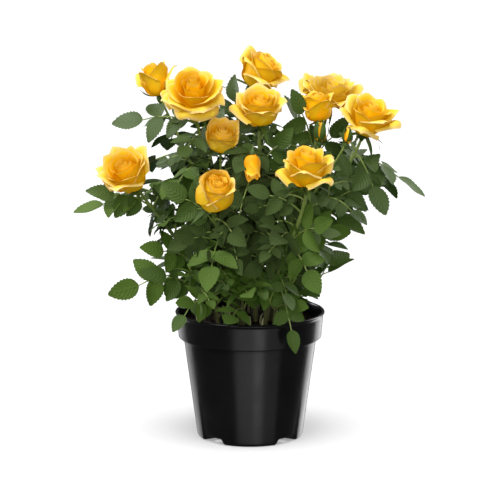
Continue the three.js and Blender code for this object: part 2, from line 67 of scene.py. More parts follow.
# %% [markdown]
# ## Studio
# A product picture is taken on a white ground that melts into a white background. A curved paper
# sweep could stand behind the pot, but a wide pale floor does the same for every viewing angle.
# A large soft light near the camera and a low one under it brighten what faces the viewer, the low
# one the leaves just over the pot. Neither shows in reflections, because the pot gets its sheen from
# lights of its own, further on. Lights above left and on top shape the blooms, and two tall ones
# behind draw bright edges.

# %% Camera, as far off as a portrait lens would stand
CAMERA_PLACE, TILT_DOWN = (0, -1.55, 0.43), 10.2
LENS_MM, FAR_CLIP = 141.9, 100


def add_object(name, data):
    """A new object in the scene for this data."""
    thing = bpy.data.objects.new(name, data)
    bpy.context.collection.objects.link(thing)
    return thing


camera = add_object("camera", bpy.data.cameras.new("camera"))
camera.location = CAMERA_PLACE
camera.rotation_euler = (math.radians(90 - TILT_DOWN), 0, 0)
camera.data.lens, camera.data.clip_end = LENS_MM, FAR_CLIP
bpy.context.scene.camera = camera
bpy.context.scene.view_settings.view_transform = "Standard"
print("camera at", CAMERA_PLACE, "m with a lens of", LENS_MM, "mm")

# %% Lights
# Name, place, aim, width and height in metres, watts.
LIGHTS = (
    ("light_front", (0.05, -1.9, 0.75), (0, 0, 0.15), 1.3, 0.9, 22),
    ("light_low_front", (0.0, -1.3, 0.12), (0, 0, 0.13), 0.9, 0.3, 3.5),
    ("light_upper_left", (-0.9, -0.9, 1.5), (0, 0, 0.2), 0.8, 0.8, 32),
    ("light_top", (0.15, 0.25, 1.7), (0, 0, 0.2), 1.0, 1.0, 24),
    ("light_edge_left", (-1.1, 0.8, 0.5), (0, 0, 0.15), 0.5, 1.1, 15),
    ("light_edge_right", (1.1, 0.8, 0.5), (0, 0, 0.15), 0.5, 1.1, 15),
)
AIR_STRENGTH = 0.12


def soft_light(name, place, aim, width, height, watts):
    """A rectangle of light at place, turned to face aim. The camera doesn't see the rectangle."""
    data = bpy.data.lights.new(name, "AREA")
    data.shape, data.size, data.size_y, data.energy = "RECTANGLE", width, height, watts
    light = add_object(name, data)
    back = np.array(place, float) - np.array(aim, float)
    light.location = place
    tilt, turn = math.atan2(math.hypot(back[0], back[1]), back[2]), math.atan2(back[0], -back[1])
    light.rotation_euler = (tilt, 0, turn)
    light.visible_camera = False
    return light


for settings in LIGHTS:
    light = soft_light(*settings)
    light.visible_glossy = "front" not in light.name
world = bpy.data.worlds.new("studio_air")
bpy.context.scene.world = world
world.use_nodes = True
air = world.node_tree.nodes["Background"].inputs
air["Color"].default_value, air["Strength"].default_value = (1, 1, 1, 1), AIR_STRENGTH

# %% [markdown]
# ## Drawing surfaces with whole arrays
# Every new piece below is a sheet of points with two parameters, one along and one across. numpy
# works out all the points of all the leaves or petals at once. The helpers here place rings, turn
# points, and make such sheets into one mesh, in metres, with its own UV map.

# %% Rings, turns and UV maps
def full_turn(count):
    """Even angles round a circle, in radians."""
    return np.arange(count) * (2 * np.pi / count)


def round_points(out, angle, height):
    """Points at a distance from the upright axis, an angle round it and a height."""
    return np.stack(np.broadcast_arrays(out * np.cos(angle), out * np.sin(angle), height), -1)


def spun(x, y, angle):
    """The pair (x, y) turned by an angle: x cos - y sin and x sin + y cos."""
    return x * np.cos(angle) - y * np.sin(angle), x * np.sin(angle) + y * np.cos(angle)


def smooth(x):
    """0 below 0, 1 above 1, and an even S between them."""
    t = np.clip(x, 0, 1)
    return t * t * (3 - 2 * t)


def flat_uv(points):
    """A UV map by row and column for one sheet."""
    rows, columns = points.shape[1:3]
    v, u = np.meshgrid(np.linspace(0, 1, rows), np.linspace(0, 1, columns), indexing="ij")
    return np.stack([u, v], -1)


def strip_uv(u, v):
    """The UV map of a strip with u from -1 to 1 across and v from 0 to 1 along it."""
    return np.stack(np.broadcast_arrays((u[0] + 1) / 2, v[0]), -1)


# %% Sheets to meshes
def sheet_faces(rows, columns, around):
    """Quads of one sheet of rows x columns points. around joins the last column to the first."""
    j = np.arange(columns if around else columns - 1)
    i = np.arange(rows - 1)[:, None]
    k = (j + 1) % columns
    quads = np.stack([i * columns + j, i * columns + k, (i + 1) * columns + k, (i + 1) * columns + j], -1)
    return quads.reshape(-1, 4)


def many_sheets(points, uv, tone=None, around=False):
    """points: sheets x rows x columns x 3. Returns the vertices, quads, uv and tone of all sheets."""
    count, rows, columns = points.shape[:3]
    faces = sheet_faces(rows, columns, around)
    faces = (faces[None] + (np.arange(count) * rows * columns)[:, None, None]).reshape(-1, 4)
    uv = np.broadcast_to(uv, (count, rows, columns, 2)).reshape(-1, 2)
    tone = np.zeros(count) if tone is None else np.asarray(tone, float)
    return points.reshape(-1, 3), faces, uv, np.repeat(tone, rows * columns)


def round_sheets(points, tone=None):
    """Sheets whose rows are closed rings."""
    return many_sheets(points, flat_uv(points), tone, around=True)


def joined(*groups):
    """Puts the vertices, faces, uv and tone of several groups one after the other."""
    points, faces, uv, tone = zip(*groups)
    steps = np.cumsum([0] + [len(p) for p in points[:-1]])
    faces = [f + step for f, step in zip(faces, steps)]
    return tuple(np.concatenate(part) for part in (points, faces, uv, tone))


# %% Groups of sheets to pieces
def make_piece(name, group, material, nodes):
    """One mesh object from a group of quads in millimetres. It rides on the plant's one body and
    stands for the named plain solids."""
    points, faces, uv, tone = group
    mesh = bpy.data.meshes.new(name)
    mesh.vertices.add(len(points))
    mesh.vertices.foreach_set("co", (points * MM).astype(np.float32).ravel())
    mesh.loops.add(faces.size)
    mesh.loops.foreach_set("vertex_index", faces.astype(np.int32).ravel())
    mesh.polygons.add(len(faces))
    mesh.polygons.foreach_set("loop_start", np.arange(0, faces.size, 4, dtype=np.int32))
    mesh.polygons.foreach_set("use_smooth", np.ones(len(faces), bool))
    mesh.update(calc_edges=True)
    layer = mesh.uv_layers.new(name="surface")
    layer.data.foreach_set("uv", uv[faces.ravel()].astype(np.float32).ravel())
    shade = mesh.attributes.new("tone", "FLOAT", "POINT")
    shade.data.foreach_set("value", tone.astype(np.float32))
    mesh.validate()
    piece = add_object(name, mesh)
    mesh.materials.append(material)
    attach(piece, "root")
    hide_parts(*nodes)
    print(f"{name}: {len(points)} points, {2 * len(faces)} triangles")
    return piece


def close_poles(mesh):
    """Fills the small open rings at the ends of a turned sheet and points all faces outwards."""
    form = bmesh.new()
    form.from_mesh(mesh)
    bmesh.ops.holes_fill(form, edges=[e for e in form.edges if e.is_boundary], sides=0)
    bmesh.ops.recalc_face_normals(form, faces=form.faces)
    form.to_mesh(mesh)
    form.free()


# %% [markdown]
# ## Finishes
# Nothing on the plant is one flat colour: leaves have veins, a quilted face and a matt pale back,
# petals go from deep gold at their foot to lemon at the rim, and the pot has the faint grain of
# moulded plastic. Painted images could give this, but they blur up close and need a layout. The
# patterns here are worked out by shader nodes from the place on the object or from the sheet's own
# UV map, so they stay sharp. A pattern that more than one finish uses is a node group.

# %% Node helpers
COLOUR, NUMBER = "NodeSocketColor", "NodeSocketFloat"


def plug(tree, socket, value):
    """Links an output to the socket, or gives it a plain value."""
    if isinstance(value, bpy.types.NodeSocket):
        tree.links.new(value, socket)
    else:
        socket.default_value = value


def wire(tree, kind, values=None, **settings):
    """Adds a node. settings are its own switches. values maps each input to a value, or to the
    output of another node that is linked to it."""
    node = tree.nodes.new(kind)
    for key, value in settings.items():
        setattr(node, key, value)
    for key, value in (values or {}).items():
        plug(tree, node.inputs[key], value)
    return node


def reckon(tree, operation, a, b=0.0, c=0.0):
    """One step of arithmetic on numbers or outputs."""
    return wire(tree, "ShaderNodeMath", {0: a, 1: b, 2: c}, operation=operation).outputs[0]


def off_middle(tree, value):
    """How far a value from 0 to 1 lies from its middle: |2 value - 1|."""
    return reckon(tree, "ABSOLUTE", reckon(tree, "MULTIPLY_ADD", value, 2.0, -1.0))


def ramp(tree, value, low, high, start=0.0, end=1.0):
    """Goes smoothly from start to end while value goes from low to high."""
    values = {0: value, 1: low, 2: high, 3: start, 4: end}
    return wire(tree, "ShaderNodeMapRange", values, interpolation_type="SMOOTHSTEP").outputs[0]


def coordinates(tree, kind):
    """Object gives the place on the piece itself in metres, UV the place on its sheet."""
    return wire(tree, "ShaderNodeTexCoord").outputs[kind]


def tone_of(tree):
    """The tone from 0 to 1 that each leaf, petal or stem was given."""
    return wire(tree, "ShaderNodeAttribute", attribute_name="tone").outputs["Fac"]


def noise(tree, place, scale, detail):
    """Soft noise with scale patches a metre."""
    return wire(tree, "ShaderNodeTexNoise", {"Vector": place, "Scale": scale, "Detail": detail}).outputs[0]


def blend_colours(tree, share, first, second):
    """first where share is 0, second where it is 1."""
    node = wire(tree, "ShaderNodeMix", data_type="RGBA")
    values = {"Factor_Float": share, "A_Color": first, "B_Color": second}
    for socket in node.inputs:
        if socket.identifier in values:
            plug(tree, socket, values[socket.identifier])
    return next(s for s in node.outputs if s.identifier == "Result_Color")


# %% Making and placing node groups
def new_group(name, inputs, outputs):
    """An empty node group. inputs maps names to defaults, outputs maps names to socket kinds. The
    group comes back with what it is given and what it puts out."""
    group = bpy.data.node_groups.new(name, "ShaderNodeTree")
    for label, default in inputs.items():
        kind = COLOUR if isinstance(default, tuple) else NUMBER
        group.interface.new_socket(name=label, in_out="INPUT", socket_type=kind).default_value = default
    for label, kind in outputs.items():
        group.interface.new_socket(name=label, in_out="OUTPUT", socket_type=kind)
    return group, group.nodes.new("NodeGroupInput").outputs, group.nodes.new("NodeGroupOutput").inputs


def use_group(tree, group, **values):
    """Places a group in a material. Input names are written with _ for a space."""
    values = {key.replace("_", " "): value for key, value in values.items()}
    return wire(tree, "ShaderNodeGroup", values, node_tree=group).outputs


# %% [markdown]
# The first group mottles two colours into each other with soft noise, and shifts the mix by each
# leaf's or petal's own tone, so that no two neighbours match. The second makes a fine grain. The
# third lays a thin film of dust on what faces up.

# %% Groups for mottling, grain and dust
PATCH_EDGES, GRAIN_EDGES, DUST_EDGES, DUST_FACING = (0.32, 0.68), (0.3, 0.7), (0.35, 0.65), (0.1, 0.9)
WIDE_GRAIN = 0.05

mottle, given, out = new_group(
    "mottle",
    {"Dark": (0, 0, 0, 1), "Light": (1, 1, 1, 1), "Scale": 50.0, "Tone": 0.5, "Tone share": 0.5},
    {"Colour": COLOUR},
)
patch = ramp(mottle, noise(mottle, coordinates(mottle, "Object"), given["Scale"], 3.0), *PATCH_EDGES)
lifted = reckon(mottle, "SUBTRACT", given["Tone"], patch)
share = reckon(mottle, "MULTIPLY_ADD", lifted, given["Tone share"], patch)
plug(mottle, out["Colour"], blend_colours(mottle, share, given["Dark"], given["Light"]))

grain, given, out = new_group(
    "grain", {"Scale": 900.0, "Roughness low": 0.3, "Roughness high": 0.5},
    {"Height": NUMBER, "Roughness": NUMBER},
)
place = coordinates(grain, "Object")
plug(grain, out["Height"], noise(grain, place, given["Scale"], 2.0))
wide = noise(grain, place, reckon(grain, "MULTIPLY", given["Scale"], WIDE_GRAIN), 2.0)
low, high = GRAIN_EDGES
spread = {0: wide, 1: low, 2: high, 3: given["Roughness low"], 4: given["Roughness high"]}
plug(grain, out["Roughness"], wire(grain, "ShaderNodeMapRange", spread).outputs[0])

dust, given, out = new_group("dust", {"Amount": 0.3, "Scale": 120.0}, {"Mask": NUMBER})
facing = wire(dust, "ShaderNodeSeparateXYZ", {0: wire(dust, "ShaderNodeNewGeometry").outputs["Normal"]})
upward = ramp(dust, facing.outputs["Z"], *DUST_FACING)
patchy = ramp(dust, noise(dust, coordinates(dust, "Object"), given["Scale"], 4.0), *DUST_EDGES)
plug(dust, out["Mask"], reckon(dust, "MULTIPLY", reckon(dust, "MULTIPLY", upward, patchy), given["Amount"]))
print("groups for several finishes:", [g.name for g in bpy.data.node_groups])

# %% [markdown]
# A rose leaflet has a strong midrib and about seven side veins that curve towards the tip, with the
# blade quilted up between them. On the leaflet's UV map the midrib runs up the middle, and a side
# vein is a line along which v minus a share of the distance from the midrib stays the same. A petal
# needs to know how far up it a point lies, where its edge is, and fine streaks along it.

# %% Groups for leaf veins and petal shading
# Edges are where a line starts and ends, from 0 at the middle of the strip to 1 at its margin.
RIB_EDGES, RIB_GROOVE = (0.03, 0.1), 0.8
VEIN_EDGES, VEIN_CURVE, PILLOW_CURVE = (0.78, 0.97), 1.25, 2.0
VEINS_FADE_FROM, VEIN_AT_RIB, VEIN_AT_MARGIN = 0.55, 0.75, 0.15
PETAL_EDGE, STREAKS = (0.88, 0.99), (26, 2.2, 1)

leaf_veins, given, out = new_group(
    "leaf_veins", {"Pairs": 7.0, "Slant": 0.34}, {"Vein": NUMBER, "Height": NUMBER}
)
uv = wire(leaf_veins, "ShaderNodeSeparateXYZ", {0: coordinates(leaf_veins, "UV")}).outputs
from_rib = off_middle(leaf_veins, uv["X"])
rib = ramp(leaf_veins, from_rib, *RIB_EDGES, 1.0, 0.0)
bend = reckon(leaf_veins, "POWER", from_rib, VEIN_CURVE)
step = reckon(leaf_veins, "SUBTRACT", uv["Y"], reckon(leaf_veins, "MULTIPLY", bend, given["Slant"]))
phase = reckon(leaf_veins, "FRACT", reckon(leaf_veins, "MULTIPLY", step, given["Pairs"]))
off_vein = off_middle(leaf_veins, phase)
side_vein = ramp(leaf_veins, off_vein, *VEIN_EDGES)
fading = ramp(leaf_veins, from_rib, VEINS_FADE_FROM, 1.0, VEIN_AT_RIB, VEIN_AT_MARGIN)
vein = reckon(leaf_veins, "MAXIMUM", rib, reckon(leaf_veins, "MULTIPLY", side_vein, fading))
pillow = reckon(leaf_veins, "SUBTRACT", 1.0, reckon(leaf_veins, "POWER", off_vein, PILLOW_CURVE))
groove = reckon(leaf_veins, "MULTIPLY", rib, RIB_GROOVE)
plug(leaf_veins, out["Vein"], vein)
plug(leaf_veins, out["Height"], reckon(leaf_veins, "SUBTRACT", pillow, groove))

petal_shading, given, out = new_group(
    "petal_shading", {"Foot ends": 0.35, "Rim starts": 0.92},
    {"Rise": NUMBER, "Edge": NUMBER, "Streak": NUMBER},
)
uv = coordinates(petal_shading, "UV")
along = wire(petal_shading, "ShaderNodeSeparateXYZ", {0: uv}).outputs["Y"]
rise = wire(
    petal_shading, "ShaderNodeMapRange", {0: along, 1: given["Foot ends"], 2: given["Rim starts"]},
    interpolation_type="SMOOTHSTEP",
)
stretched = wire(petal_shading, "ShaderNodeMapping", {"Vector": uv, "Scale": STREAKS}).outputs[0]
plug(petal_shading, out["Rise"], rise.outputs[0])
plug(petal_shading, out["Edge"], ramp(petal_shading, along, *PETAL_EDGE))
plug(petal_shading, out["Streak"], noise(petal_shading, stretched, 1.0, 3.0))
print("groups:", [g.name for g in bpy.data.node_groups])

# %% [markdown]
# Each finish is one material with one all-round shader. It could be mixed from several shaders, but
# leaves, petals, bark, peat and plastic all need the same three things: a colour, a roughness and a
# fine relief, which a bump node makes from a height without adding faces.

# %% Materials and what they all need
def new_material(name, **constants):
    """A material with one Principled shader whose plain settings are set on its own sockets."""
    material = bpy.data.materials.new(name)
    material.use_nodes = True
    tree = material.node_tree
    shader = tree.nodes["Principled BSDF"]
    for key, value in constants.items():
        shader.inputs[key.replace("_", " ")].default_value = value
    return material, tree, shader


def feed(tree, shader, colour, roughness, height, strength, depth):
    """Gives the shader its colour, its roughness and a bump as deep as depth metres."""
    bump = wire(tree, "ShaderNodeBump", {"Height": height, "Strength": strength, "Distance": depth})
    for name, value in (("Base Color", colour), ("Roughness", roughness), ("Normal", bump.outputs[0])):
        plug(tree, shader.inputs[name], value)


def rgb(*values):
    """An opaque colour from its linear red, green and blue."""
    return (*values, 1.0)


# %% [markdown]
# Colours that have a place on the plant are dealt out by piece: four greens and three yellows. The
# darkest green is painted shade, near-black for the leaves inside the bush and in its middle; the
# others are dark above, middling below and fresh on the young sprays. The yellows go from the heart
# of a bloom to its outer petals. Light also passes through blades and petals. A shader can reckon
# that, but it is slow and noisy, so a very weak glow stands for it: green in the leaves, orange in
# the petals. The glow is painted light, which also lifts the leaves and petals that lie in shade.

# %% Leaf finish in four greens
# LEAF_GLOW is painted light: a faint green glow that lifts the leaves lying in shade.
LEAF_GLOW, PALE_VEIN = rgb(0.003, 0.010, 0.000), rgb(0.16, 0.24, 0.07)
BACK_PALENESS, BACK_SHARE, BACK_DULLER = 0.28, 0.8, 0.25
GLOSS_SPREAD, GRAIN_SHARE = 0.16, 0.25
# Name, dark and light green, least roughness, specular level, glow, share of the veins' colour.
GREENS = (
    # The first green is painted shade: near-black for the leaves inside the bush and in its middle.
    ("leaf_painted_shade", rgb(0.001, 0.004, 0.000), rgb(0.003, 0.010, 0.000), 0.42, 0.08, 0.0, 0.08),
    ("leaf_dark", rgb(0.003, 0.011, 0.001), rgb(0.012, 0.028, 0.003), 0.29, 0.48, 0.8, 0.14),
    ("leaf_mid", rgb(0.003, 0.014, 0.000), rgb(0.018, 0.040, 0.001), 0.31, 0.40, 1.0, 0.14),
    ("leaf_fresh", rgb(0.007, 0.027, 0.000), rgb(0.034, 0.068, 0.001), 0.36, 0.22, 1.0, 0.14),
)


def leaf_finish(name, dark, light, gloss, shine, glow, vein_share):
    """Mottled green with pale veins and a quilted, shiny face. The back is paler and matt."""
    material, tree, shader = new_material(
        name, Specular_IOR_Level=shine, Emission_Color=LEAF_GLOW, Emission_Strength=glow
    )
    mixed = use_group(tree, mottle, Dark=dark, Light=light, Scale=55.0, Tone=tone_of(tree), Tone_share=0.8)
    veins = use_group(tree, leaf_veins)
    vein = reckon(tree, "MULTIPLY", veins["Vein"], vein_share)
    face = blend_colours(tree, vein, mixed["Colour"], PALE_VEIN)
    under = ((1 - BACK_PALENESS) * a + BACK_PALENESS * b for a, b in zip(light[:3], PALE_VEIN[:3]))
    turned_over = wire(tree, "ShaderNodeNewGeometry").outputs["Backfacing"]
    colour = blend_colours(tree, reckon(tree, "MULTIPLY", turned_over, BACK_SHARE), face, rgb(*under))
    speck = use_group(tree, grain, Scale=700.0, Roughness_low=gloss, Roughness_high=gloss + GLOSS_SPREAD)
    roughness = reckon(tree, "MULTIPLY_ADD", turned_over, BACK_DULLER, speck["Roughness"])
    relief = reckon(tree, "MULTIPLY_ADD", speck["Height"], GRAIN_SHARE, veins["Height"])
    feed(tree, shader, colour, roughness, relief, 0.45, 0.0007)
    return material


leaf_finishes = [leaf_finish(*green) for green in GREENS]
print("leaf finishes:", [material.name for material in leaf_finishes])

# %% Petal finish in three yellows
# PETAL_GLOW is painted light: an orange glow that lifts the petals in shade and warms them to orange.
PETAL_GLOW, PETAL_ROUGHNESS = rgb(0.90, 0.42, 0.0), 0.6
STREAK_SHARE, TONE_LIFT, LIFT_BASE, EDGE_SHARE = 0.5, 0.35, 0.17, 0.7
# Name, colour at the foot, higher up and along the edge, glow.
YELLOWS = (
    ("petal_heart", rgb(0.61, 0.23, 0.001), rgb(0.64, 0.37, 0.004), rgb(0.66, 0.45, 0.08), 0.21),
    ("petal_middle", rgb(0.58, 0.29, 0.001), rgb(0.60, 0.39, 0.012), rgb(0.60, 0.435, 0.15), 0.18),
    ("petal_outer", rgb(0.56, 0.34, 0.002), rgb(0.57, 0.41, 0.036), rgb(0.58, 0.44, 0.22), 0.16),
)


def petal_finish(name, foot, higher, rim, glow):
    """Gold at the foot, lighter up the petal and palest along its edge, with fine streaks."""
    material, tree, shader = new_material(
        name, Specular_IOR_Level=0.2, Emission_Color=PETAL_GLOW, Emission_Strength=glow
    )
    parts = use_group(tree, petal_shading)
    streak = reckon(tree, "SUBTRACT", parts["Streak"], 0.5)
    streaked = reckon(tree, "MULTIPLY_ADD", streak, STREAK_SHARE, parts["Rise"])
    lifted = reckon(
        tree, "MULTIPLY_ADD", tone_of(tree), TONE_LIFT, reckon(tree, "SUBTRACT", streaked, LIFT_BASE)
    )
    body = blend_colours(tree, ramp(tree, lifted, 0.0, 1.0), foot, higher)
    colour = blend_colours(tree, reckon(tree, "MULTIPLY", parts["Edge"], EDGE_SHARE), body, rim)
    feed(tree, shader, colour, PETAL_ROUGHNESS, parts["Streak"], 0.35, 0.0005)
    return material


petal_finishes = [petal_finish(*yellow) for yellow in YELLOWS]
print("petal finishes:", [material.name for material in petal_finishes])

# %% Stem finish for bark, twigs, dry shoots and sepals
DRY_BELOW, GREEN_ABOVE = 0.10, 0.17
SKIN_SPREAD = 0.15
# Name, dark and light colour, patches a metre, least roughness, and the dry colour near the soil.
SKINS = (
    ("cane_bark", rgb(0.1, 0.15, 0.03), rgb(0.18, 0.24, 0.06), 140.0, 0.45, rgb(0.075, 0.078, 0.028)),
    ("green_twig", rgb(0.095, 0.15, 0.02), rgb(0.23, 0.29, 0.08), 90.0, 0.42),
    ("dry_shoot", rgb(0.18, 0.175, 0.08), rgb(0.4, 0.39, 0.22), 300.0, 0.55),
    ("sepal_green", rgb(0.022, 0.05, 0.008), rgb(0.06, 0.105, 0.018), 160.0, 0.45),
)


def stem_finish(name, low, high, scale, rough, dry=None):
    """Smooth mottled green skin. With a dry colour it turns to that near the soil."""
    material, tree, shader = new_material(name, Specular_IOR_Level=0.3)
    mixed = use_group(tree, mottle, Dark=low, Light=high, Scale=scale, Tone=tone_of(tree), Tone_share=0.65)
    colour = mixed["Colour"]
    if dry:
        height = wire(tree, "ShaderNodeSeparateXYZ", {"Vector": coordinates(tree, "Object")}).outputs["Z"]
        colour = blend_colours(tree, ramp(tree, height, DRY_BELOW, GREEN_ABOVE), dry, colour)
    speck = use_group(tree, grain, Scale=1500.0, Roughness_low=rough, Roughness_high=rough + SKIN_SPREAD)
    feed(tree, shader, colour, speck["Roughness"], speck["Height"], 0.3, 0.0004)
    return material


bark_finish, twig_finish, dry_finish, sepal_finish = (stem_finish(*skin) for skin in SKINS)
print("finishes:", [m.name for m in bpy.data.materials])

# %% [markdown]
# ## Pot
# The pot is a thin blow-moulded tub: a tapered wall, a taller collar that steps out round the top,
# a small bead at the rim, and four shallow channels across the foot that let water run out of the
# holes. It could be turned as a plain lathe shape. Here the turned profile is lifted at the channels
# by a smooth step, because the wall's lower edge rises softly into each of them.

# %% Pot measures, in millimetres and degrees
# POLE is the radius of the small open ring in the middle, which is closed later on.
POT_HEIGHT, RIM_RADIUS, COLLAR_FOOT, WALL_TOP, FOOT = 102.5, 60.0, 57.5, 53.5, 42.5
COLLAR_FOOT_HEIGHT, WALL_TOP_HEIGHT, WALL, POLE = 81.5, 80.5, 1.3, 0.3
CHANNEL_HEIGHT, CHANNEL_INNER, CHANNEL_LIP = 4.2, 26.0, 3.0
CHANNEL_HALF_TURN, CHANNEL_FLANK, CHANNEL_FADES_AT = 13.0, 4.5, 40.0
CHANNEL_TURNS = (45, 135, 225, 315)
DRAIN_RADIUS, DRAIN_REACH = 3.5, 35.0
SOIL_HEIGHT = 94.0
POT_SIDES = 192
print(f"pot {POT_HEIGHT} mm high, {2 * RIM_RADIUS} mm across the rim")


def arc(centre, radius, start, end, steps):
    """Points of a circle round centre in the (out, up) plane, from start to end degrees."""
    a = np.radians(np.linspace(start, end, steps))
    return np.stack([centre[0] + radius * np.cos(a), centre[1] + radius * np.sin(a)], 1)


def line_points(start, end, steps):
    """Even points from start up to, but not on, end."""
    return np.array(start) + (np.array(end) - start) * (np.arange(steps) / steps)[:, None]


# %% Pot surface
# Radii of the round stretches: the foot's edge, the step's corner, the collar's lower edge, the bead.
FOOT_ROUND, STEP_ROUND, COLLAR_ROUND, BEAD_ROUND = 2.5, 0.9, 0.8, 1.25
# How far the middles of the first three lie in from the foot, below and above the wall's top.
FOOT_ROUND_IN, STEP_ROUND_BELOW, COLLAR_ROUND_ABOVE = 2.2, 0.2, 1.5
# Heights at which the straight wall and, over the wall's top, the straight collar start.
WALL_FROM, COLLAR_FROM, COLLAR_FLARE = 3, 3, 0.1
# Points as (out, up): the collar's top and the bead, then down the inside to the wall.
COLLAR_TOP, BEAD_FOOT, BEAD_MIDDLE = (58.9, 98.2), (58.95, 99.6), (58.75, 101.1)
LIP_TOP, LIP_INSIDE = (58.1, 102.35), (57.7, 101.2)
INSIDE_TOP, INSIDE_FOOT = (57.6, 100.5), (56.2, 83.4)
LEDGE_OUTER, LEDGE_INNER, INNER_WALL_TOP = (56.0, 82.8), (52.2, 81.6), (52.1, 80.5)
INNER_ROUND, INNER_BEND, SILL_IN = 2, (0.5, 0.6), 2


def pot_profile():
    """The closed outline as (out, up) points: under the foot, up the wall, round the step, the
    collar and the bead, then down the inside to the middle of the floor."""
    wall_slope = (WALL_TOP - FOOT) / COLLAR_FOOT_HEIGHT
    inner_foot = FOOT + wall_slope * WALL - WALL
    sill = CHANNEL_INNER - SILL_IN
    return np.concatenate([
        line_points((POLE, 0), (sill, 0), 4),
        line_points((sill, 0), (FOOT - FOOT_ROUND, 0), 10),
        arc((FOOT - FOOT_ROUND_IN, FOOT_ROUND), FOOT_ROUND, -90, -6, 6),
        line_points((FOOT + wall_slope * WALL_FROM, WALL_FROM), (WALL_TOP, WALL_TOP_HEIGHT), 22),
        arc((WALL_TOP + STEP_ROUND, WALL_TOP_HEIGHT - STEP_ROUND_BELOW), STEP_ROUND, 180, 90, 4),
        arc((COLLAR_FOOT - COLLAR_ROUND, WALL_TOP_HEIGHT + COLLAR_ROUND_ABOVE), COLLAR_ROUND, -90, 0, 5),
        line_points((COLLAR_FOOT + COLLAR_FLARE, WALL_TOP_HEIGHT + COLLAR_FROM), COLLAR_TOP, 8),
        line_points(COLLAR_TOP, BEAD_FOOT, 2),
        arc(BEAD_MIDDLE, BEAD_ROUND, -60, 90, 9),
        line_points(LIP_TOP, LIP_INSIDE, 2),
        line_points(INSIDE_TOP, INSIDE_FOOT, 8),
        line_points(LEDGE_OUTER, LEDGE_INNER, 3),
        line_points(INNER_WALL_TOP, (inner_foot, WALL + INNER_ROUND), 12),
        line_points((inner_foot - INNER_BEND[0], WALL + INNER_BEND[1]), (inner_foot - INNER_ROUND, WALL), 2),
        line_points((inner_foot - INNER_ROUND, WALL), (sill, WALL), 10),
        line_points((sill, WALL), (POLE, WALL), 4),
    ])


def pot_surface():
    """Turns the profile round the upright axis. In a channel the foot moves up by the channel's
    height, and what lies above by less and less, so the wall is squeezed to make room."""
    out, height = pot_profile().T[..., None]
    angle = full_turn(POT_SIDES)
    off = np.min(np.abs((np.degrees(angle)[:, None] - CHANNEL_TURNS + 180) % 360 - 180), 1)
    channel = 1 - smooth((off - CHANNEL_HALF_TURN + CHANNEL_FLANK / 3) / CHANNEL_FLANK)
    under = smooth((out - CHANNEL_INNER + CHANNEL_LIP / 2) / CHANNEL_LIP)
    fading = np.clip(1 - height / CHANNEL_FADES_AT, 0, 1)
    return round_points(out, angle, height + CHANNEL_HEIGHT * channel * under * fading)[None]


print("points on the pot's outline:", len(pot_profile()))


# %% Pot material: black moulded plastic
BLACK, LESS_BLACK = rgb(0.0024, 0.0024, 0.0025), rgb(0.0038, 0.0038, 0.0039)
DUST_GREY = rgb(0.10, 0.10, 0.095)


def pot_finish():
    """Nearly black, half glossy, with a fine grain and a very thin film of dust on what faces up."""
    material, tree, shader = new_material("pot_plastic", Specular_IOR_Level=0.2)
    mixed = use_group(tree, mottle, Dark=BLACK, Light=LESS_BLACK, Scale=30.0, Tone_share=0.0)
    film = use_group(tree, dust, Amount=0.05, Scale=160.0)
    colour = blend_colours(tree, film["Mask"], mixed["Colour"], DUST_GREY)
    speck = use_group(tree, grain, Scale=1300.0, Roughness_low=0.18, Roughness_high=0.27)
    feed(tree, shader, colour, speck["Roughness"], speck["Height"], 0.12, 0.0003)
    return material


pot = make_piece(
    "nursery_pot", round_sheets(pot_surface()[:, :, ::-1]), pot_finish(), ["pot"]
)

# %% Close the two poles and drill the drain holes
BIT_SIDES = 32
# Share of the radius and height of each ring of a drill bit.
BIT_RINGS = ((0.02, -6), (1, -6), (1, 16), (0.02, 16))


def closed_mesh(name, points):
    """A plain mesh of turned sheets with closed poles."""
    vertices, faces, *_ = round_sheets(points)
    mesh = bpy.data.meshes.new(name)
    mesh.from_pydata((vertices * MM).tolist(), [], faces.tolist())
    close_poles(mesh)
    return mesh


def drill(piece, turns, reach, radius):
    """Cuts upright round holes through the piece's floor and makes the result its mesh."""
    share, height = np.array(BIT_RINGS).T[..., None]
    bit = round_points(radius * share, full_turn(BIT_SIDES), height)
    middles = round_points(reach, np.radians(turns), 0)
    bits = add_object("drill_bits", closed_mesh("drill_bits", middles[:, None, None] + bit))
    close_poles(piece.data)
    cut = piece.modifiers.new("holes", "BOOLEAN")
    cut.operation, cut.object, cut.solver = "DIFFERENCE", bits, "EXACT"
    depsgraph = bpy.context.evaluated_depsgraph_get()
    result = bpy.data.meshes.new_from_object(piece.evaluated_get(depsgraph))
    piece.modifiers.clear()
    piece.data = result
    bpy.data.objects.remove(bits)
    return len(result.polygons)


print("pot faces after drilling:", drill(pot, CHANNEL_TURNS, DRAIN_REACH, DRAIN_RADIUS))

# %% [markdown]
# The wall leans in towards its foot, so it mirrors what lies low. The lights for it stand lower than
# the ground, which doesn't block them, and light nothing but the pot.

# %% Lights that only the pot gets
SHEEN_AIM = (0, 0, 0.07)
# Name, place, width, height, watts.
SHEENS = (
    ("sheen_middle", (-0.03, -1.0, -0.34), 0.90, 0.5, 2.5),
    ("sheen_right", (0.27, -0.95, -0.34), 0.28, 0.5, 0.7),
    ("sheen_side", (0.62, -0.78, -0.34), 0.55, 0.5, 0.65),
    ("sheen_edge_left", (-0.72, 0.95, -0.34), 0.7, 0.6, 1.6),
    ("sheen_edge_right", (0.72, 0.95, -0.34), 0.7, 0.6, 3.6),
)


def only_for(name, piece):
    """A collection with one piece, to tell a light what it may fall on or be blocked by."""
    group = bpy.data.collections.new(name)
    group.objects.link(piece)
    return group


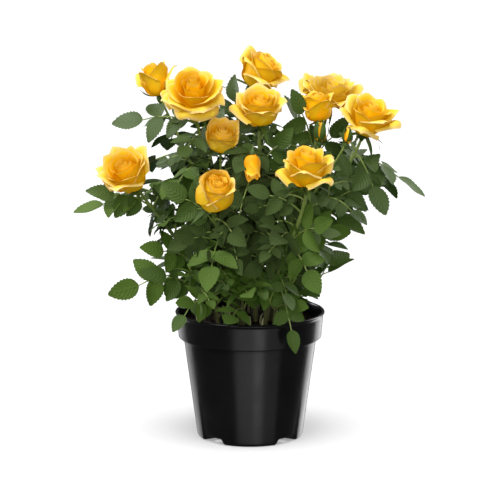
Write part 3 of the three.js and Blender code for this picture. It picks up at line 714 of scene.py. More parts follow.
def confine(light, receivers, blockers):
    """Lets a light fall only on the receivers, and only the blockers throw a shadow in it."""
    light.light_linking.receiver_collection = receivers
    light.light_linking.blocker_collection = blockers


pot_only = only_for("pot_only", pot)
for name, place, *size_and_watts in SHEENS:
    confine(soft_light(name, place, SHEEN_AIM, *size_and_watts), pot_only, pot_only)
print("lights for the pot alone:", len(SHEENS))

# %% [markdown]
# ## Soil
# Peat fills the pot to a finger's width below the rim. A flat disc would show as a lid between the
# stems, so the top is a disc of rings with a soft uneven height, and some hundreds of crumbs lie on it.

# %% Soil bed and crumbs
SOIL_RADIUS, SOIL_UNEVEN, CRUMB_REACH = 55.4, 0.28, 53
# Distance from the axis and height of the rings below the soil's edge.
SOIL_WALL = ((55.2, 88.0), (51.0, 80.0), (41.2, 8.0), (0.5, 6.5))
LUMP_RADII, LUMP_SIDES, LUMP_FROM, LUMP_TO = (0.05, 0.8, 1.0, 0.7, 0.05), 6, -0.6, 0.7
BED_RINGS, BED_SIDES, LUMPS, BED_TONE = 28, 96, 420, 0.3

rng = np.random.default_rng(11)


def soil_surface():
    """A disc whose height is a sum of a few slow waves and small random steps, fading at the edge,
    and a wall below it that stays inside the pot."""
    share, angle = np.linspace(0.01, 1, BED_RINGS)[:, None], full_turn(BED_SIDES)
    x, y = spun(SOIL_RADIUS * share, 0, angle)
    wave = 0.7 * np.sin(x / 7 + 1) * np.cos(y / 9) + 0.5 * np.sin((x + y) / 4)
    wave = wave + rng.normal(0, SOIL_UNEVEN, x.shape)
    height = SOIL_HEIGHT - 0.4 + wave * (1 - share**8) - 1.2 * share**10
    out, level = np.array(SOIL_WALL).T[..., None]
    return np.concatenate([np.stack([x, y, height], -1), round_points(out, angle, level)])[None]


def crumbs(count):
    """Small lumps: six-sided rings of random radius, turned to random angles, strewn on the soil."""
    rings = len(LUMP_RADII)
    radius = np.array(LUMP_RADII)[:, None] * rng.uniform(0.7, 1.25, (count, rings, LUMP_SIDES))
    size = rng.uniform(0.7, 2.1, count)[:, None, None]
    height = np.linspace(LUMP_FROM, LUMP_TO, rings)[:, None]
    x, y, z = np.moveaxis(round_points(radius, full_turn(LUMP_SIDES), height), -1, 0) * size
    tip, yaw = rng.uniform(0, 2 * np.pi, (count, 2)).T[..., None, None]
    y, z = spun(y, z, tip)
    x, y = spun(x, y, yaw)
    out, turn = CRUMB_REACH * np.sqrt(rng.uniform(0, 1, count)), rng.uniform(0, 2 * np.pi, count)
    middle = round_points(out, turn, SOIL_HEIGHT + 0.2 * size[:, 0, 0])
    return np.stack([x, y, z], -1) + middle[:, None, None]


def soil_finish():
    """Dark peat: two browns in small patches, very rough, with a coarse bump."""
    material, tree, shader = new_material("peat", Specular_IOR_Level=0.2)
    browns = dict(Dark=rgb(0.004, 0.003, 0.002), Light=rgb(0.022, 0.014, 0.009))
    mixed = use_group(tree, mottle, **browns, Scale=420.0, Tone=tone_of(tree), Tone_share=0.5)
    speck = use_group(tree, grain, Scale=1600.0, Roughness_low=0.85, Roughness_high=1.0)
    feed(tree, shader, mixed["Colour"], speck["Roughness"], speck["Height"], 0.8, 0.0008)
    return material


bed, lumps = soil_surface(), crumbs(LUMPS)
peat = joined(round_sheets(bed, [BED_TONE]), round_sheets(lumps, rng.uniform(0, 1, LUMPS)))
soil = make_piece("soil_bed", peat, soil_finish(), ["soil"])
close_poles(soil.data)

# %% [markdown]
# ## How the bush grows
# Eleven canes rise from the soil. Each ends in a bloom, and the other blooms of its crown sit on side
# twigs. Eight low shoots lean over the rim. The stems, the blooms and the long outer leaves are the
# ones that the plain solids have, from the same measures and the same rule, so that the fine plant
# fills the same space. Two blooms and a few long leaves are moved by some millimetres, and one leaf
# behind the right buds is added, all within the reach of the solids.

# %% The bush's measures, in millimetres and degrees
# Blooms are (x, y, z, width, open, lean, turn). Leaf tips are (x, y, z), and some have a fourth
# value, the leaf's roll about its own direction.
CANES = [
    ("far_left", [(-96, -20, 215.5, 42, 0.65, 45, -120)],
     [(-140, -10, 184, 25), (-84, -34, 160), (-128, -22, 203)]),
    ("left", [(-44, -25, 281, 53, 0.85, 38, -95), (-74.5, 10, 286, 27, 0.3, 12, 180)],
     [(-110, 2, 254), (-74, -22, 206), (-22, 28, 262)]),
    ("front_left", [(-26, -82, 211, 34, 0.4, 50, -80), (-22, -15, 244.5, 28, 0.35, 40, -80)],
     [(-58, -84, 178), (-66, -70, 215)]),
    ("middle", [(7.5, -12, 266.5, 38, 0.6, 25, -90), (2, -50, 226, 16, 0.2, 150, -90)],
     [(32, -34, 252), (-10, -62, 226)]),
    ("back_middle", [(9, 30, 291.5, 38, 0.5, 35, -20), (8, 104, 252, 36, 0.7, 40, 70)],
     [(-14, 18, 289), (12, 132, 206)]),
    ("front_right", [(43, -78, 228, 45, 0.75, 15, -90)], [(62, -90, 190), (18, -108, 178)]),
    ("right", [(53, -5, 267, 24, 0.2, 10, -100), (55, -27, 248, 11, 0, 5, 0), (75, -40, 247, 8, 0, 8, 0)],
     [(90, -28, 172), (34, -20, 281)]),
    ("back_right", [(66, 35, 274, 46, 1, 20, -60)], [(28, 32, 272), (96, 52, 226), (78, 14, 256)]),
    ("far_right", [(93, -15, 260, 48, 0.75, 26, -55)],
     [(102, -10, 229), (140, -6, 197, -28), (107, -14, 212), (106, -30, 184)]),
    ("rear_left", [(-47, 95, 266, 38, 0.65, 38, 115), (-102, 70, 203, 34, 0.45, 40, 150)],
     [(-124, 84, 190), (-62, 128, 186)]),
    ("rear_right", [(98, 90, 247, 32, 0.55, 38, 45), (48, 100, 203, 38, 0.7, 45, 80)],
     [(126, 92, 182), (80, 130, 176)]),
]
# Name, the compass turn that the shoot leans to, leaf tips.
SKIRTS = [
    ("left", 182, [(-112, -26, 120, -40), (-84, -34, 140)]),
    ("front_left", 228, [(-60, -58, 97), (-56, -66, 122)]),
    ("front", 262, [(-18, -84, 110), (0, -98, 136)]),
    ("front_right", 300, [(36, -64, 82), (44, -62, 118)]),
    ("right", 332, [(80, -26, 151, -60), (44, -40, 127)]),
    ("back_right", 12, [(82, 50, 140), (54, 62, 114)]),
    ("back", 80, [(22, 100, 140), (-4, 84, 106)]),
    ("back_left", 150, [(-84, 68, 134), (-56, 64, 106)]),
]
STEM_NODES = [f"cane_{c[0]}" for c in CANES] + [f"stem_skirt_{s[0]}" for s in SKIRTS]
CROWN_NODES = [f"crown_{c[0]}" for c in CANES]
GREEN_NODES = CROWN_NODES + [f"skirt_{s[0]}" for s in SKIRTS]
print("solids that the dressed bush stands for:", len(STEM_NODES + GREEN_NODES))

# %% Repeatable chance and a few vectors
MASK, WHOLE = 0xFFFFFFFF, 2**32
MIX_SEED, MIX_DRAW, MIX_FIRST, MIX_SECOND = 374761393, 668265263, 2246822519, 3266489917
UP, DEPTH_AXIS = np.array([0.0, 0.0, 1.0]), (0.0, 1.0, 0.0)
GOLDEN_TURN = 137.5


def chance(seed, draw):
    """A repeatable number from 0 to 1 for each seed and draw, from mixed and multiplied bits."""
    h = (((seed + 1) * MIX_SEED) ^ ((draw + 1) * MIX_DRAW)) & MASK
    h = ((h ^ (h >> 15)) * MIX_FIRST) & MASK
    h = ((h ^ (h >> 13)) * MIX_SECOND) & MASK
    return (h ^ (h >> 16)) / WHOLE


def between(seed, draw, low, high):
    """A repeatable number from low to high."""
    return low + (high - low) * chance(seed, draw)


def unit(v):
    """v with a length of 1."""
    return v / np.linalg.norm(v)


def turned(v, axis, degrees):
    """v turned round a unit axis: its part along the axis stays, the rest circles."""
    a = math.radians(degrees)
    return v * math.cos(a) + np.cross(axis, v) * math.sin(a) + axis * (axis @ v) * (1 - math.cos(a))


def leaning(lean, turn):
    """A direction from its lean off the upright and the compass turn it faces, in degrees."""
    lean, turn = math.radians(lean), math.radians(turn)
    return np.array([math.sin(lean) * math.cos(turn), math.sin(lean) * math.sin(turn), math.cos(lean)])


# %% [markdown]
# A stem could be one of Blender's curve objects. Leaves have to find their foot and their direction
# on it, so here a stem is three or four control points, and places on its smooth curve are worked
# out from them. The same curve later carries the stem's skin.

# %% Curves
def on_curve(control, t):
    """Points of a Bezier curve of three or four control points at the shares t."""
    t = np.asarray(t, float)[..., None]
    a, b = 1 - t, t
    if len(control) == 3:
        return a * a * control[0] + 2 * a * b * control[1] + b * b * control[2]
    return a**3 * control[0] + 3 * a * a * b * control[1] + 3 * a * b * b * control[2] + b**3 * control[3]


def heading_on(control, t):
    """Unit directions of the curve at the shares t, from the curve of its differences."""
    steps = np.diff(np.asarray(control), axis=0)
    t = np.asarray(t, float)[..., None]
    way = (1 - t) * steps[0] + t * steps[1] if len(steps) == 2 else on_curve(steps, t[..., 0])
    return way / np.linalg.norm(way, axis=-1, keepdims=True)


def sideways(way, degrees):
    """A level direction square to a stem that heads along way, turned round it by some degrees."""
    return turned(unit(np.cross(way, DEPTH_AXIS)), way, degrees)


class Stem:
    """A curve and the straight pieces that its leaves hang on."""

    def __init__(self, control, start, pieces):
        """The pieces run from the share start of the curve to its end."""
        self.control = np.array(control)
        self.shares = np.linspace(start, 1, pieces + 1)
        self.points = on_curve(self.control, self.shares)
        fine = on_curve(self.control, np.linspace(0, 1, 201))
        self.length = np.linalg.norm(np.diff(fine, axis=0), axis=1).sum()

    def spot(self, t):
        """The place on the straight pieces at share t."""
        return np.array([np.interp(t, self.shares, self.points[:, k]) for k in range(3)])


# %% Canes, bloom twigs and low shoots
# How far out a cane's foot lies: the least, a share of its bloom's distance added, and the most.
CANE_FOOT_LEAST, CANE_FOOT_SHARE, CANE_FOOT_MOST, OVER_SOIL = 5, 0.22, 30, 0.3
# Shares of a stem's length or of its way outwards that bend it.
RISES, DRIFTS, NECK_RUN, TWIG_SAG = 0.34, 0.12, 0.24, 0.12
# The most that a cane's end leans and the lean from which a bloom hangs, in degrees, and how many
# millimetres the twig of a hanging bloom rises above its neck.
NECK_LEAN, HANGS_FROM, RISE_OVER_HANGING = 60, 90, 8
SKIRT_FOOT, SKIRT_END, SKIRT_BEND_HEIGHT, SKIRT_HEIGHT = 37, 48, 24, 40


def neck_depth(bloom):
    """How far a bloom's neck lies below its middle: less of its width the more it is open."""
    return bloom[3] * (0.52 - 0.3 * bloom[4]) + 1


def neck_of(bloom):
    """Where the stalk meets the bloom."""
    return np.array(bloom[:3]) - leaning(bloom[5], bloom[6]) * neck_depth(bloom)


def cane_curve(bloom):
    """From the soil, on the side that the cane leans to, straight up at first, to the bloom's neck."""
    out = math.hypot(bloom[0], bloom[1])
    reach = min(CANE_FOOT_MOST, CANE_FOOT_LEAST + CANE_FOOT_SHARE * out)
    foot = np.array([bloom[0] / out * reach, bloom[1] / out * reach, SOIL_HEIGHT + OVER_SOIL])
    neck = neck_of(bloom)
    length = np.linalg.norm(neck - foot)
    rise = foot + UP * RISES * length + np.array([neck[0] - foot[0], neck[1] - foot[1], 0]) * DRIFTS
    return foot, rise, neck - leaning(min(bloom[5], NECK_LEAN), bloom[6]) * NECK_RUN * length, neck


def twig_curve(line, bloom):
    """From half way up the cane to the neck of a side bloom, bent away from where it faces. The
    twig of a hanging bloom first rises above it."""
    start, neck = line.spot(0.5), neck_of(bloom)
    bend = (start + neck) / 2 - leaning(bloom[5], bloom[6]) * TWIG_SAG * np.linalg.norm(neck - start)
    bend[2] = max(bend[2], neck[2] + RISE_OVER_HANGING if bloom[5] > HANGS_FROM else 0)
    return start, bend, neck


def skirt_curve(turn):
    """A low shoot: up from the soil's edge and out over the rim."""
    out = leaning(90, turn)
    foot = out * SKIRT_FOOT + UP * (SOIL_HEIGHT + OVER_SOIL)
    end = out * SKIRT_END + UP * (SOIL_HEIGHT + SKIRT_HEIGHT)
    bend = foot + 0.3 * (end - foot)
    bend[2] = SOIL_HEIGHT + SKIRT_BEND_HEIGHT
    return foot, bend, end


shoots = []
for k, (name, blooms, tips) in enumerate(CANES):
    line = Stem(cane_curve(blooms[0]), 0.3, 5)
    twigs = [Stem(twig_curve(line, bloom), 0, 3) for bloom in blooms[1:]]
    shoots.append(dict(name=name, seed=100 + 17 * k, blooms=blooms, tips=tips, line=line, twigs=twigs))
for k, (name, turn, tips) in enumerate(SKIRTS):
    line = Stem(skirt_curve(turn), 0.3, 3)
    shoots.append(dict(name="skirt_" + name, seed=500 + 17 * k, blooms=[], tips=tips, line=line, twigs=[]))
print("shoots:", len(shoots), "blooms and buds:", sum(len(s["blooms"]) for s in shoots))

# %% [markdown]
# A rose leaf has five leaflets on a thin arching stalk. A leaf is planned from its foot on the stem
# and its tip, and keeps clear of other leaves, blooms and the pot: each leaflet stands for a ball,
# and two balls may overlap only so far. First come the long leaves that give the outline, then
# nodes up every stem a golden turn apart. These are the leaves of the plain solids.

# %% Plan one leaf
LEAFLET, LEAF_REACH, LEAFLET_SHARE, ARCH = 32.0, 64.0, 0.52, 0.12
DRAWN_SHARE, LOW_LEAVES_BELOW, LOW_SHARE, DRAWN_ARCH = 0.8, 100, 0.75, 0.08
COUNTED_DROOP, DRAWN_DROOP = 0.32, 0.16
# Share of the stalk, swing off its direction in degrees and share of the size of each leaflet.
COUNTED_SPOTS = ((1, 0, 1), (0.74, -62, 0.82), (0.74, 62, 0.82), (0.3, -70, 0.66), (0.3, 70, 0.66))
DRAWN_SPOTS = ((1, 0, 1), (0.68, -62, 0.9), (0.68, 62, 0.9), (0.32, -66, 0.74), (0.32, 66, 0.74))
FRONT = np.array([0.0, -1.0, 0.0])
TURNS_FRONT_BEFORE, TURNS_OVER = 70, 90


def leaflets_on(stalk, tip, face, size, spots, droop):
    """Leaflets set along a stalk, each as (root, along, across, normal, length). The first one
    reaches from the stalk's end to the leaf's tip."""
    leaflets = []
    for share, swing, scale in spots:
        root = on_curve(stalk, share)
        forward = unit(tip - root) if share == 1 else heading_on(stalk, share)
        normal = unit(face - forward * (face @ forward))
        along = unit(turned(forward, normal, swing) - UP * (0 if share == 1 else droop))
        normal = unit(normal - along * (normal @ along))
        length = np.linalg.norm(tip - stalk[-1]) if share == 1 else scale * size
        leaflets.append((root, along, np.cross(normal, along), normal, length))
    return leaflets


def plan_leaf(foot, tip, roll, count):
    """Stalk curve and leaflets of one leaf. counted are the plain solid's leaflets, which keep its
    room. The drawn ones are a fifth smaller, low ones smaller still, on a stalk that is longer by as
    much. In the front half they also turn their faces to the front."""
    span = tip - foot
    reach = np.linalg.norm(span)
    size, heading = min(LEAFLET, reach * LEAFLET_SHARE), span / reach
    end = tip - heading * size + UP * ARCH * reach
    bend = (foot + end) / 2 + UP * ARCH * reach
    outward = unit(np.array([tip[0], tip[1], 1e-9]))
    face = turned(0.7 * UP + 0.7 * outward, heading, roll)
    spots = COUNTED_SPOTS[: max(3, count)]
    counted = leaflets_on(np.array([foot, bend, end]), tip, face, size, spots, COUNTED_DROOP)
    share = DRAWN_SHARE * (LOW_SHARE if tip[2] < LOW_LEAVES_BELOW else 1)
    last = tip + (end - tip - UP * DRAWN_ARCH * reach) * share
    stalk = np.array([foot, bend + (last - end) * 0.4, last])
    forwards = np.clip((TURNS_FRONT_BEFORE - tip[1]) / TURNS_OVER, 0, 1) * (0.75 + 0.7 * max(0, heading[2]))
    sunward = turned(unit(0.6 * UP + 0.5 * outward + FRONT * forwards), heading, roll)
    drawn = leaflets_on(stalk, tip, sunward, size * share, DRAWN_SPOTS, DRAWN_DROOP)
    return dict(stalk=stalk, leaflets=drawn, counted=counted, tip=tip)


# %% Room for each leaf
BALL_SHARE, OWN_CROWDING = 0.3, 0.85
taken_at, taken_radius, taken_by = [], [], []


def take(places, radii, owner):
    """Marks the room of some balls as taken by one crown, shoot or bloom."""
    taken_at.extend(places)
    taken_radius.extend(radii)
    taken_by.extend([owner] * len(radii))


def spot_on(leaflet, share=1):
    """The place on a leaflet's midrib at a share of its length."""
    root, along, _, _, length = leaflet
    return root + along * length * share


def balls_of(leaf):
    """Middles and radii of the balls that a leaf's leaflets stand for."""
    return [spot_on(one, 0.5) for one in leaf["counted"]], [BALL_SHARE * one[-1] for one in leaf["counted"]]


def out_of_pot(p):
    """True where all points are well over the soil, or well off the rim."""
    out = np.hypot(p[:, 0], p[:, 1])
    off_rim = (out > RIM_RADIUS + 3) | (p[:, 2] > POT_HEIGHT + 4)
    return bool(np.where(out < RIM_RADIUS - 4, p[:, 2] > SOIL_HEIGHT + 5, off_rim).all())


def has_room(leaf, owner, crowding):
    """True where the leaf's tips and middles are off the pot and no two balls overlap too far."""
    places, radii = balls_of(leaf)
    if not out_of_pot(np.array([spot_on(one) for one in leaf["counted"]] + places)):
        return False
    gaps = np.linalg.norm(np.array(places)[:, None] - np.array(taken_at)[None], axis=-1)
    share = np.where(np.array(taken_by) == owner, OWN_CROWDING * crowding, crowding)
    return bool((gaps > share * (np.array(radii)[:, None] + np.array(taken_radius)[None])).all())


# %% [markdown]
# Room alone would let the bush grow round like a ball. The real one is wide above and narrow over
# the pot, so a leaf also has to stay within an outline, given as a width to the left and to the
# right at some heights.

# %% The bush's outline from the front, in millimetres
REACH_MARGIN = 1.0
EYE = np.array(CAMERA_PLACE) * MM_PER_M
OUTLINE_HEIGHTS = (96, 112, 125, 150, 172, 182, 188, 203, 214, 238, 250, 262, 285)
OUTLINE_LEFT = (-58, -50, -62, -80, -86, -92, -116, -116, -84, -92, -96, -62, -58)
OUTLINE_RIGHT = (60, 56, 56, 82, 92, 112, 118, 112, 104, 104, 62, 40, 34)
RIM_SEEN_BEFORE, RIM_SEEN_BELOW = -30, 113


def seen_at(points, depth):
    """Carries points along their line of sight from the front to the upright plane y = depth."""
    return EYE + (points - EYE) * ((depth - EYE[1]) / (points[..., 1:2] - EYE[1]))


def inside_reach(leaf):
    """True where every leaflet's tip lies within the box of the plain solids, and within the bush's
    outline: wide above, with a narrow waist over the pot. The outline is given at the middle of the
    bush as seen from the front, so each tip is first carried there."""
    ends = np.array([spot_on(one) for one in leaf["counted"]])
    seen = seen_at(ends, 0)
    left = np.interp(seen[:, 2], OUTLINE_HEIGHTS, OUTLINE_LEFT)
    right = np.interp(seen[:, 2], OUTLINE_HEIGHTS, OUTLINE_RIGHT)
    over_rim = (ends[:, 1] < RIM_SEEN_BEFORE) & (ends[:, 2] < RIM_SEEN_BELOW)
    in_box = ((ends > cad_low - REACH_MARGIN) & (ends < cad_high + REACH_MARGIN)).all(1)
    return bool((~over_rim & in_box & (seen[:, 0] > left) & (seen[:, 0] < right)).all())


# %% The leaves of the plain solids
LEAFY_PART, TWIG_PART, SKIRT_PART, FOOT_REACH = (0.36, 0.86), (0.3, 0.8), (0.5, 1), 0.9
LEAST_REACH, SHORTER_ABOVE, TURN_JITTER, ROLL_JITTER, FORWARD = 0.76, 0.25, 20, 35, (0.1, 0.6)
SWINGS = (0, 40, -40, 80, -80, 130)


def fill_stem(shoot, line, part, seed, spacing=22, size=1.0, crowding=0.85, count=3, droop=(0.15, 0.5)):
    """Nodes along a part of the stem, a golden turn apart. Each tries a few swings for a free place."""
    start, end = part
    nodes = max(1, int(line.length * (end - start) / spacing + 0.5))
    for i in range(nodes):
        draw = 5 * i
        t = start + (end - start) * (i + 0.5) / nodes
        foot, stem = line.spot(t), heading_on(line.control, t)
        reach = LEAF_REACH * size * between(seed, draw, LEAST_REACH, 1)
        reach = reach * (1 - SHORTER_ABOVE * float(smooth((t - 0.5) / 0.5)))
        turn = GOLDEN_TURN * i + between(seed, draw + 1, -TURN_JITTER, TURN_JITTER)
        turn = turn + 360 * chance(seed, 999)
        for swing in SWINGS:
            way = unit(sideways(stem, turn + swing) + stem * between(seed, draw + 2, *FORWARD))
            tip = foot + way * reach
            tip[2] -= between(seed, draw + 3, *droop) * reach
            leaf = plan_leaf(foot, tip, between(seed, draw + 4, -ROLL_JITTER, ROLL_JITTER), count)
            if inside_reach(leaf) and has_room(leaf, shoot["name"], crowding):
                shoot["leaves"].append(leaf)
                take(*balls_of(leaf), shoot["name"])
                break


for shoot in shoots:
    for bloom in shoot["blooms"]:
        take([np.array(bloom[:3], float)], [0.5 * bloom[3]], shoot["name"] + "_bloom")
for shoot in shoots:
    shoot["leaves"] = []
    for *tip, roll in (tip if len(tip) > 3 else (*tip, 0) for tip in shoot["tips"]):
        tip = np.array(tip, float)
        feet = [shoot["line"].spot(t) for t in np.linspace(*LEAFY_PART, 21)]
        misfit = [abs(np.linalg.norm(foot - tip) - LEAF_REACH * FOOT_REACH) for foot in feet]
        leaf = plan_leaf(feet[int(np.argmin(misfit))], tip, roll, 5 if shoot["blooms"] else 3)
        take(*balls_of(leaf), shoot["name"])
        shoot["leaves"].append(leaf)
for shoot in shoots:
    fill_stem(shoot, shoot["line"], LEAFY_PART if shoot["blooms"] else SKIRT_PART, shoot["seed"])
    for k, twig in enumerate(shoot["twigs"]):
        fill_stem(shoot, twig, TWIG_PART, shoot["seed"] + 7 * (k + 1))
print("leaves of the plain solids:", sum(len(s["leaves"]) for s in shoots))

# %% [markdown]
# A living bush is finer than that. Short green twigs leave each cane in the same golden spiral, and
# they, the canes and the low shoots carry smaller leaves closer together. The finer leaves obey the
# same rule of room, with balls that may overlap more, so the heart of the bush closes while the sky
# still shows between the blooms.

# %% Finer twigs and leaves
CANE_TWIGS_AT, SKIRT_TWIGS_AT = (0.3, 0.38, 0.46, 0.54, 0.62), (0.35, 0.6, 0.85)
FINE_TWIG_LENGTHS, FINE_SEEDS_FROM = (26, 42), 3000
# Part of the stem, then spacing, share of the size, crowding, leaflets and droop.
ON_FINE_TWIG = ((0.35, 1.0), (11, 0.62, 0.55, 5, (-0.1, 0.3)))
LOW_ON_STEM = ((0.3, 0.7), (9, 0.7, 0.55, 5, (-0.05, 0.3)))
HIGH_ON_STEM = ((0.7, 0.93), (20, 0.55, 0.75, 5, (-0.1, 0.25)))
ON_BLOOM_TWIG = ((0.15, 0.9), (19, 0.55, 0.75, 5, (-0.1, 0.25)))


def fill_finely(shoot, line, where, seed):
    """Fills a stem by one of the rows above."""
    part, settings = where
    fill_stem(shoot, line, part, seed, *settings)


def fine_twig(line, t, turn, length):
    """A short side twig: out from the stem, then curving upwards."""
    start, stem = line.spot(t), heading_on(line.control, t)
    way = unit(sideways(stem, turn) + 0.5 * stem)
    return Stem((start, start + way * 0.55 * length, start + way * 0.8 * length + UP * 0.45 * length), 0, 3)


fine_twigs = []
for shoot in shoots:
    seed = shoot["seed"] + FINE_SEEDS_FROM
    for k, t in enumerate(CANE_TWIGS_AT if shoot["blooms"] else SKIRT_TWIGS_AT):
        length = between(seed, 50 + k, *FINE_TWIG_LENGTHS) * (1.1 - 0.5 * t)
        twig = fine_twig(shoot["line"], t, GOLDEN_TURN * k + 360 * chance(seed, 70), length)
        before = len(shoot["leaves"])
        fill_finely(shoot, twig, ON_FINE_TWIG, seed + 11 * k)
        if len(shoot["leaves"]) > before:
            fine_twigs.append(twig)
    fill_finely(shoot, shoot["line"], LOW_ON_STEM, seed + 1)
    fill_finely(shoot, shoot["line"], HIGH_ON_STEM, seed + 2)
    for k, twig in enumerate(shoot["twigs"]):
        fill_finely(shoot, twig, ON_BLOOM_TWIG, seed + 7 * (k + 1))
print("fine twigs:", len(fine_twigs), "leaves in all:", sum(len(s["leaves"]) for s in shoots))

# %% [markdown]
# ## Leaflets
# One leaflet is a pointed oval with saw teeth, folded a little along its midrib and sagging towards
# its tip. It could be a flat card with a cut-out picture, but then its edge would be painted. Here
# each leaflet is a real sheet of a few dozen faces: the teeth are rows that step in and out along
# the margin, and every leaflet gets its own fold, sag, twist and width.

# %% Leaflet sheets
TEETH, NOTCH_AT, TOOTH_AT, TOOTHED_PART = 9, 0.12, 0.74, 0.97
NOTCH_WIDTH, TOOTH_WIDTH, NOTCH_STEP, TOOTH_STEP = 0.91, 1.02, -0.002, 0.016
FOOT_WIDTH, TIP_WIDTH, HALF_BREADTH = 0.03, 0.012, 0.33
ACROSS = (-1, -0.52, 0, 0.52, 1.0)


def leaflet_rows():
    """Share along the blade, half width there and forward step of the margin, for each row. Each
    tooth has a notch row and a tip row. The half width is v^0.55 (1-v)^0.85, scaled to 1 at its widest."""
    k = np.arange(TEETH)
    v = np.sort(np.concatenate([(k + NOTCH_AT) / TEETH, (k + TOOTH_AT) / TEETH]))
    v = np.concatenate([[0.0], v * TOOTHED_PART, [1.0]])
    width = v**0.55 * (1 - v) ** 0.85
    width = width / width.max()
    notch = np.zeros(len(v), bool)
    notch[1:-1:2] = True
    margin = np.where(notch, NOTCH_WIDTH, TOOTH_WIDTH)
    forward = np.where(notch, NOTCH_STEP, TOOTH_STEP)
    width[0], width[-1] = FOOT_WIDTH, TIP_WIDTH
    forward[[0, -1]] = 0
    return v, width, margin, forward


print("rows of points on a leaflet:", len(leaflet_rows()[0]))


def leaflet_sheets(leaflets, looks):
    """All leaflets at once. A point at share v along and u across (-1 to 1) lies at
    forward = length (v + tooth), side = width u, lift = fold |side| - sag length v^2 + twist side v
    + a ripple near the margin, in the leaflet's own along, across and normal directions."""
    root, along, across, normal, length = (np.array(part)[:, None, None] for part in zip(*leaflets))
    fold, sag, twist, breadth, ripple, phase = looks[..., None, None]
    v, width, margin, tooth = (a[None, :, None] for a in leaflet_rows())
    u = np.array(ACROSS)[None, None]
    edge = np.abs(u) == 1
    forward = length * (v + np.where(edge, tooth, 0))
    side = length * HALF_BREADTH * breadth * width * np.where(edge, margin, 1) * u
    wave = ripple * length * np.sin(phase + 9 * v) * u**2 * width
    lift = fold * np.abs(side) - sag * length * v**2 + twist * side * v + wave
    ways = ((forward, along), (side, across), (lift, normal))
    return root + sum(part[..., None] * way for part, way in ways), strip_uv(u, v)


# %% Which green each leaf gets, the darkest as painted shade
PAINTED_SHADE, DARK, MIDDLING, FRESH = range(4)
# Leaves deep in the bush, or in its middle above the waist, get the painted-shade green.
WAIST, HEART, DEEP_BELOW, FRESH_BELOW, DARK_ABOVE = 145, 190, 232, 172, 215
DEPTH_SCALE, DEEP_ABOVE_WAIST, DEEP_UNDER_WAIST = (1.15, 105, 110), 0.38, 0.14
INNER_MIDDLE, INNER_HALF_WIDTH, INNER_CHANCE = -16, 58, 0.86
FRESH_BEFORE, FRESH_CHANCE, DARK_CHANCE = 30, 0.55, 0.7


def leaf_tint(leaf, draw):
    """Which green a leaf gets: the near-black painted shade deep inside the bush and in its middle,
    fresh low down at the front and on the young outer sprays, otherwise dark above and middling below."""
    x, y, z = leaf["tip"]
    flatter, out_scale, up_scale = DEPTH_SCALE
    depth = math.hypot(x / flatter, y) / out_scale + 0.35 * (z - HEART) / up_scale
    young = chance(draw, 5)
    inner = abs(x - INNER_MIDDLE) < INNER_HALF_WIDTH - 0.5 * max(0, z - HEART) and z > WAIST
    deep = depth < (DEEP_ABOVE_WAIST if z > WAIST else DEEP_UNDER_WAIST)
    if (deep or (inner and young < INNER_CHANCE)) and z < DEEP_BELOW:
        return PAINTED_SHADE
    if z < FRESH_BELOW and y < FRESH_BEFORE:
        return FRESH if young < FRESH_CHANCE else MIDDLING
    if z > DARK_ABOVE:
        return DARK if young < DARK_CHANCE else MIDDLING
    return (DARK, MIDDLING, MIDDLING, FRESH)[int(young * 4)]


# %% [markdown]
# A leaflet that would stand inside a bloom is left out. So is one that would hide the bare top of a
# front bloom's stalk, and a side leaflet that would stand out at the narrow waist, because the real
# bush shows air there.

# %% Leaflets that are left out
HEAD_SHARE, BARE_PART, STALK_ROOM = 0.46, (0.84, 0.99), 7.0
WAIST_ROOM, WAIST_TOP, WAIST_DEPTH = 3, 150, 40
heads = [(np.array(b[:3]), HEAD_SHARE * b[3]) for s in shoots for b in s["blooms"]]
front_canes = [s["line"] for s in shoots if s["blooms"] and s["blooms"][0][1] < 0]
bare_stalks = np.array([line.spot(t) for line in front_canes for t in np.linspace(*BARE_PART, 6)])


def in_bloom(leaflet):
    """True where the middle or the tip of a leaflet lies inside a bloom."""
    return not all(
        np.linalg.norm(spot_on(leaflet, share) - centre) > radius
        for centre, radius in heads for share in (0.5, 1)
    )


def hides_stalk(leaflet):
    """True where a leaflet stands between the eye and the bare top of a front bloom's stalk."""
    for share in (0.3, 0.6, 0.95):
        spot = spot_on(leaflet, share)
        seen = seen_at(bare_stalks[bare_stalks[:, 1] > spot[1]], spot[1])
        if len(seen) and np.hypot(seen[:, 0] - spot[0], seen[:, 2] - spot[2]).min() < STALK_ROOM:
            return True
    return False


def past_waist(leaflet):
    """True where a leaflet's tip stands out to the right of the bush's narrow waist."""
    tip = spot_on(leaflet)
    seen = seen_at(tip, 0)
    edge = np.interp(seen[2], OUTLINE_HEIGHTS, OUTLINE_RIGHT) + WAIST_ROOM
    return tip[1] < WAIST_DEPTH and seen[2] < WAIST_TOP and seen[0] > edge


tinted, leaf_tones = [[], [], [], []], [[], [], [], []]
stalks, stalk_tones = [], []
for shoot in shoots:
    for leaf in shoot["leaves"]:
        stalks.append(leaf["stalk"])
        number = len(stalks)
        stalk_tones.append(chance(number, 3))
        tint = leaf_tint(leaf, number)
        for part, leaflet in enumerate(leaf["leaflets"]):
            if in_bloom(leaflet) or hides_stalk(leaflet) or (part > 0 and past_waist(leaflet)):
                continue
            tinted[tint].append(leaflet)
            leaf_tones[tint].append(0.8 * chance(number, 8) + 0.2 * chance(number, 20 + part))
print("leaves:", len(stalks), "leaflets by green:", [len(t) for t in tinted])

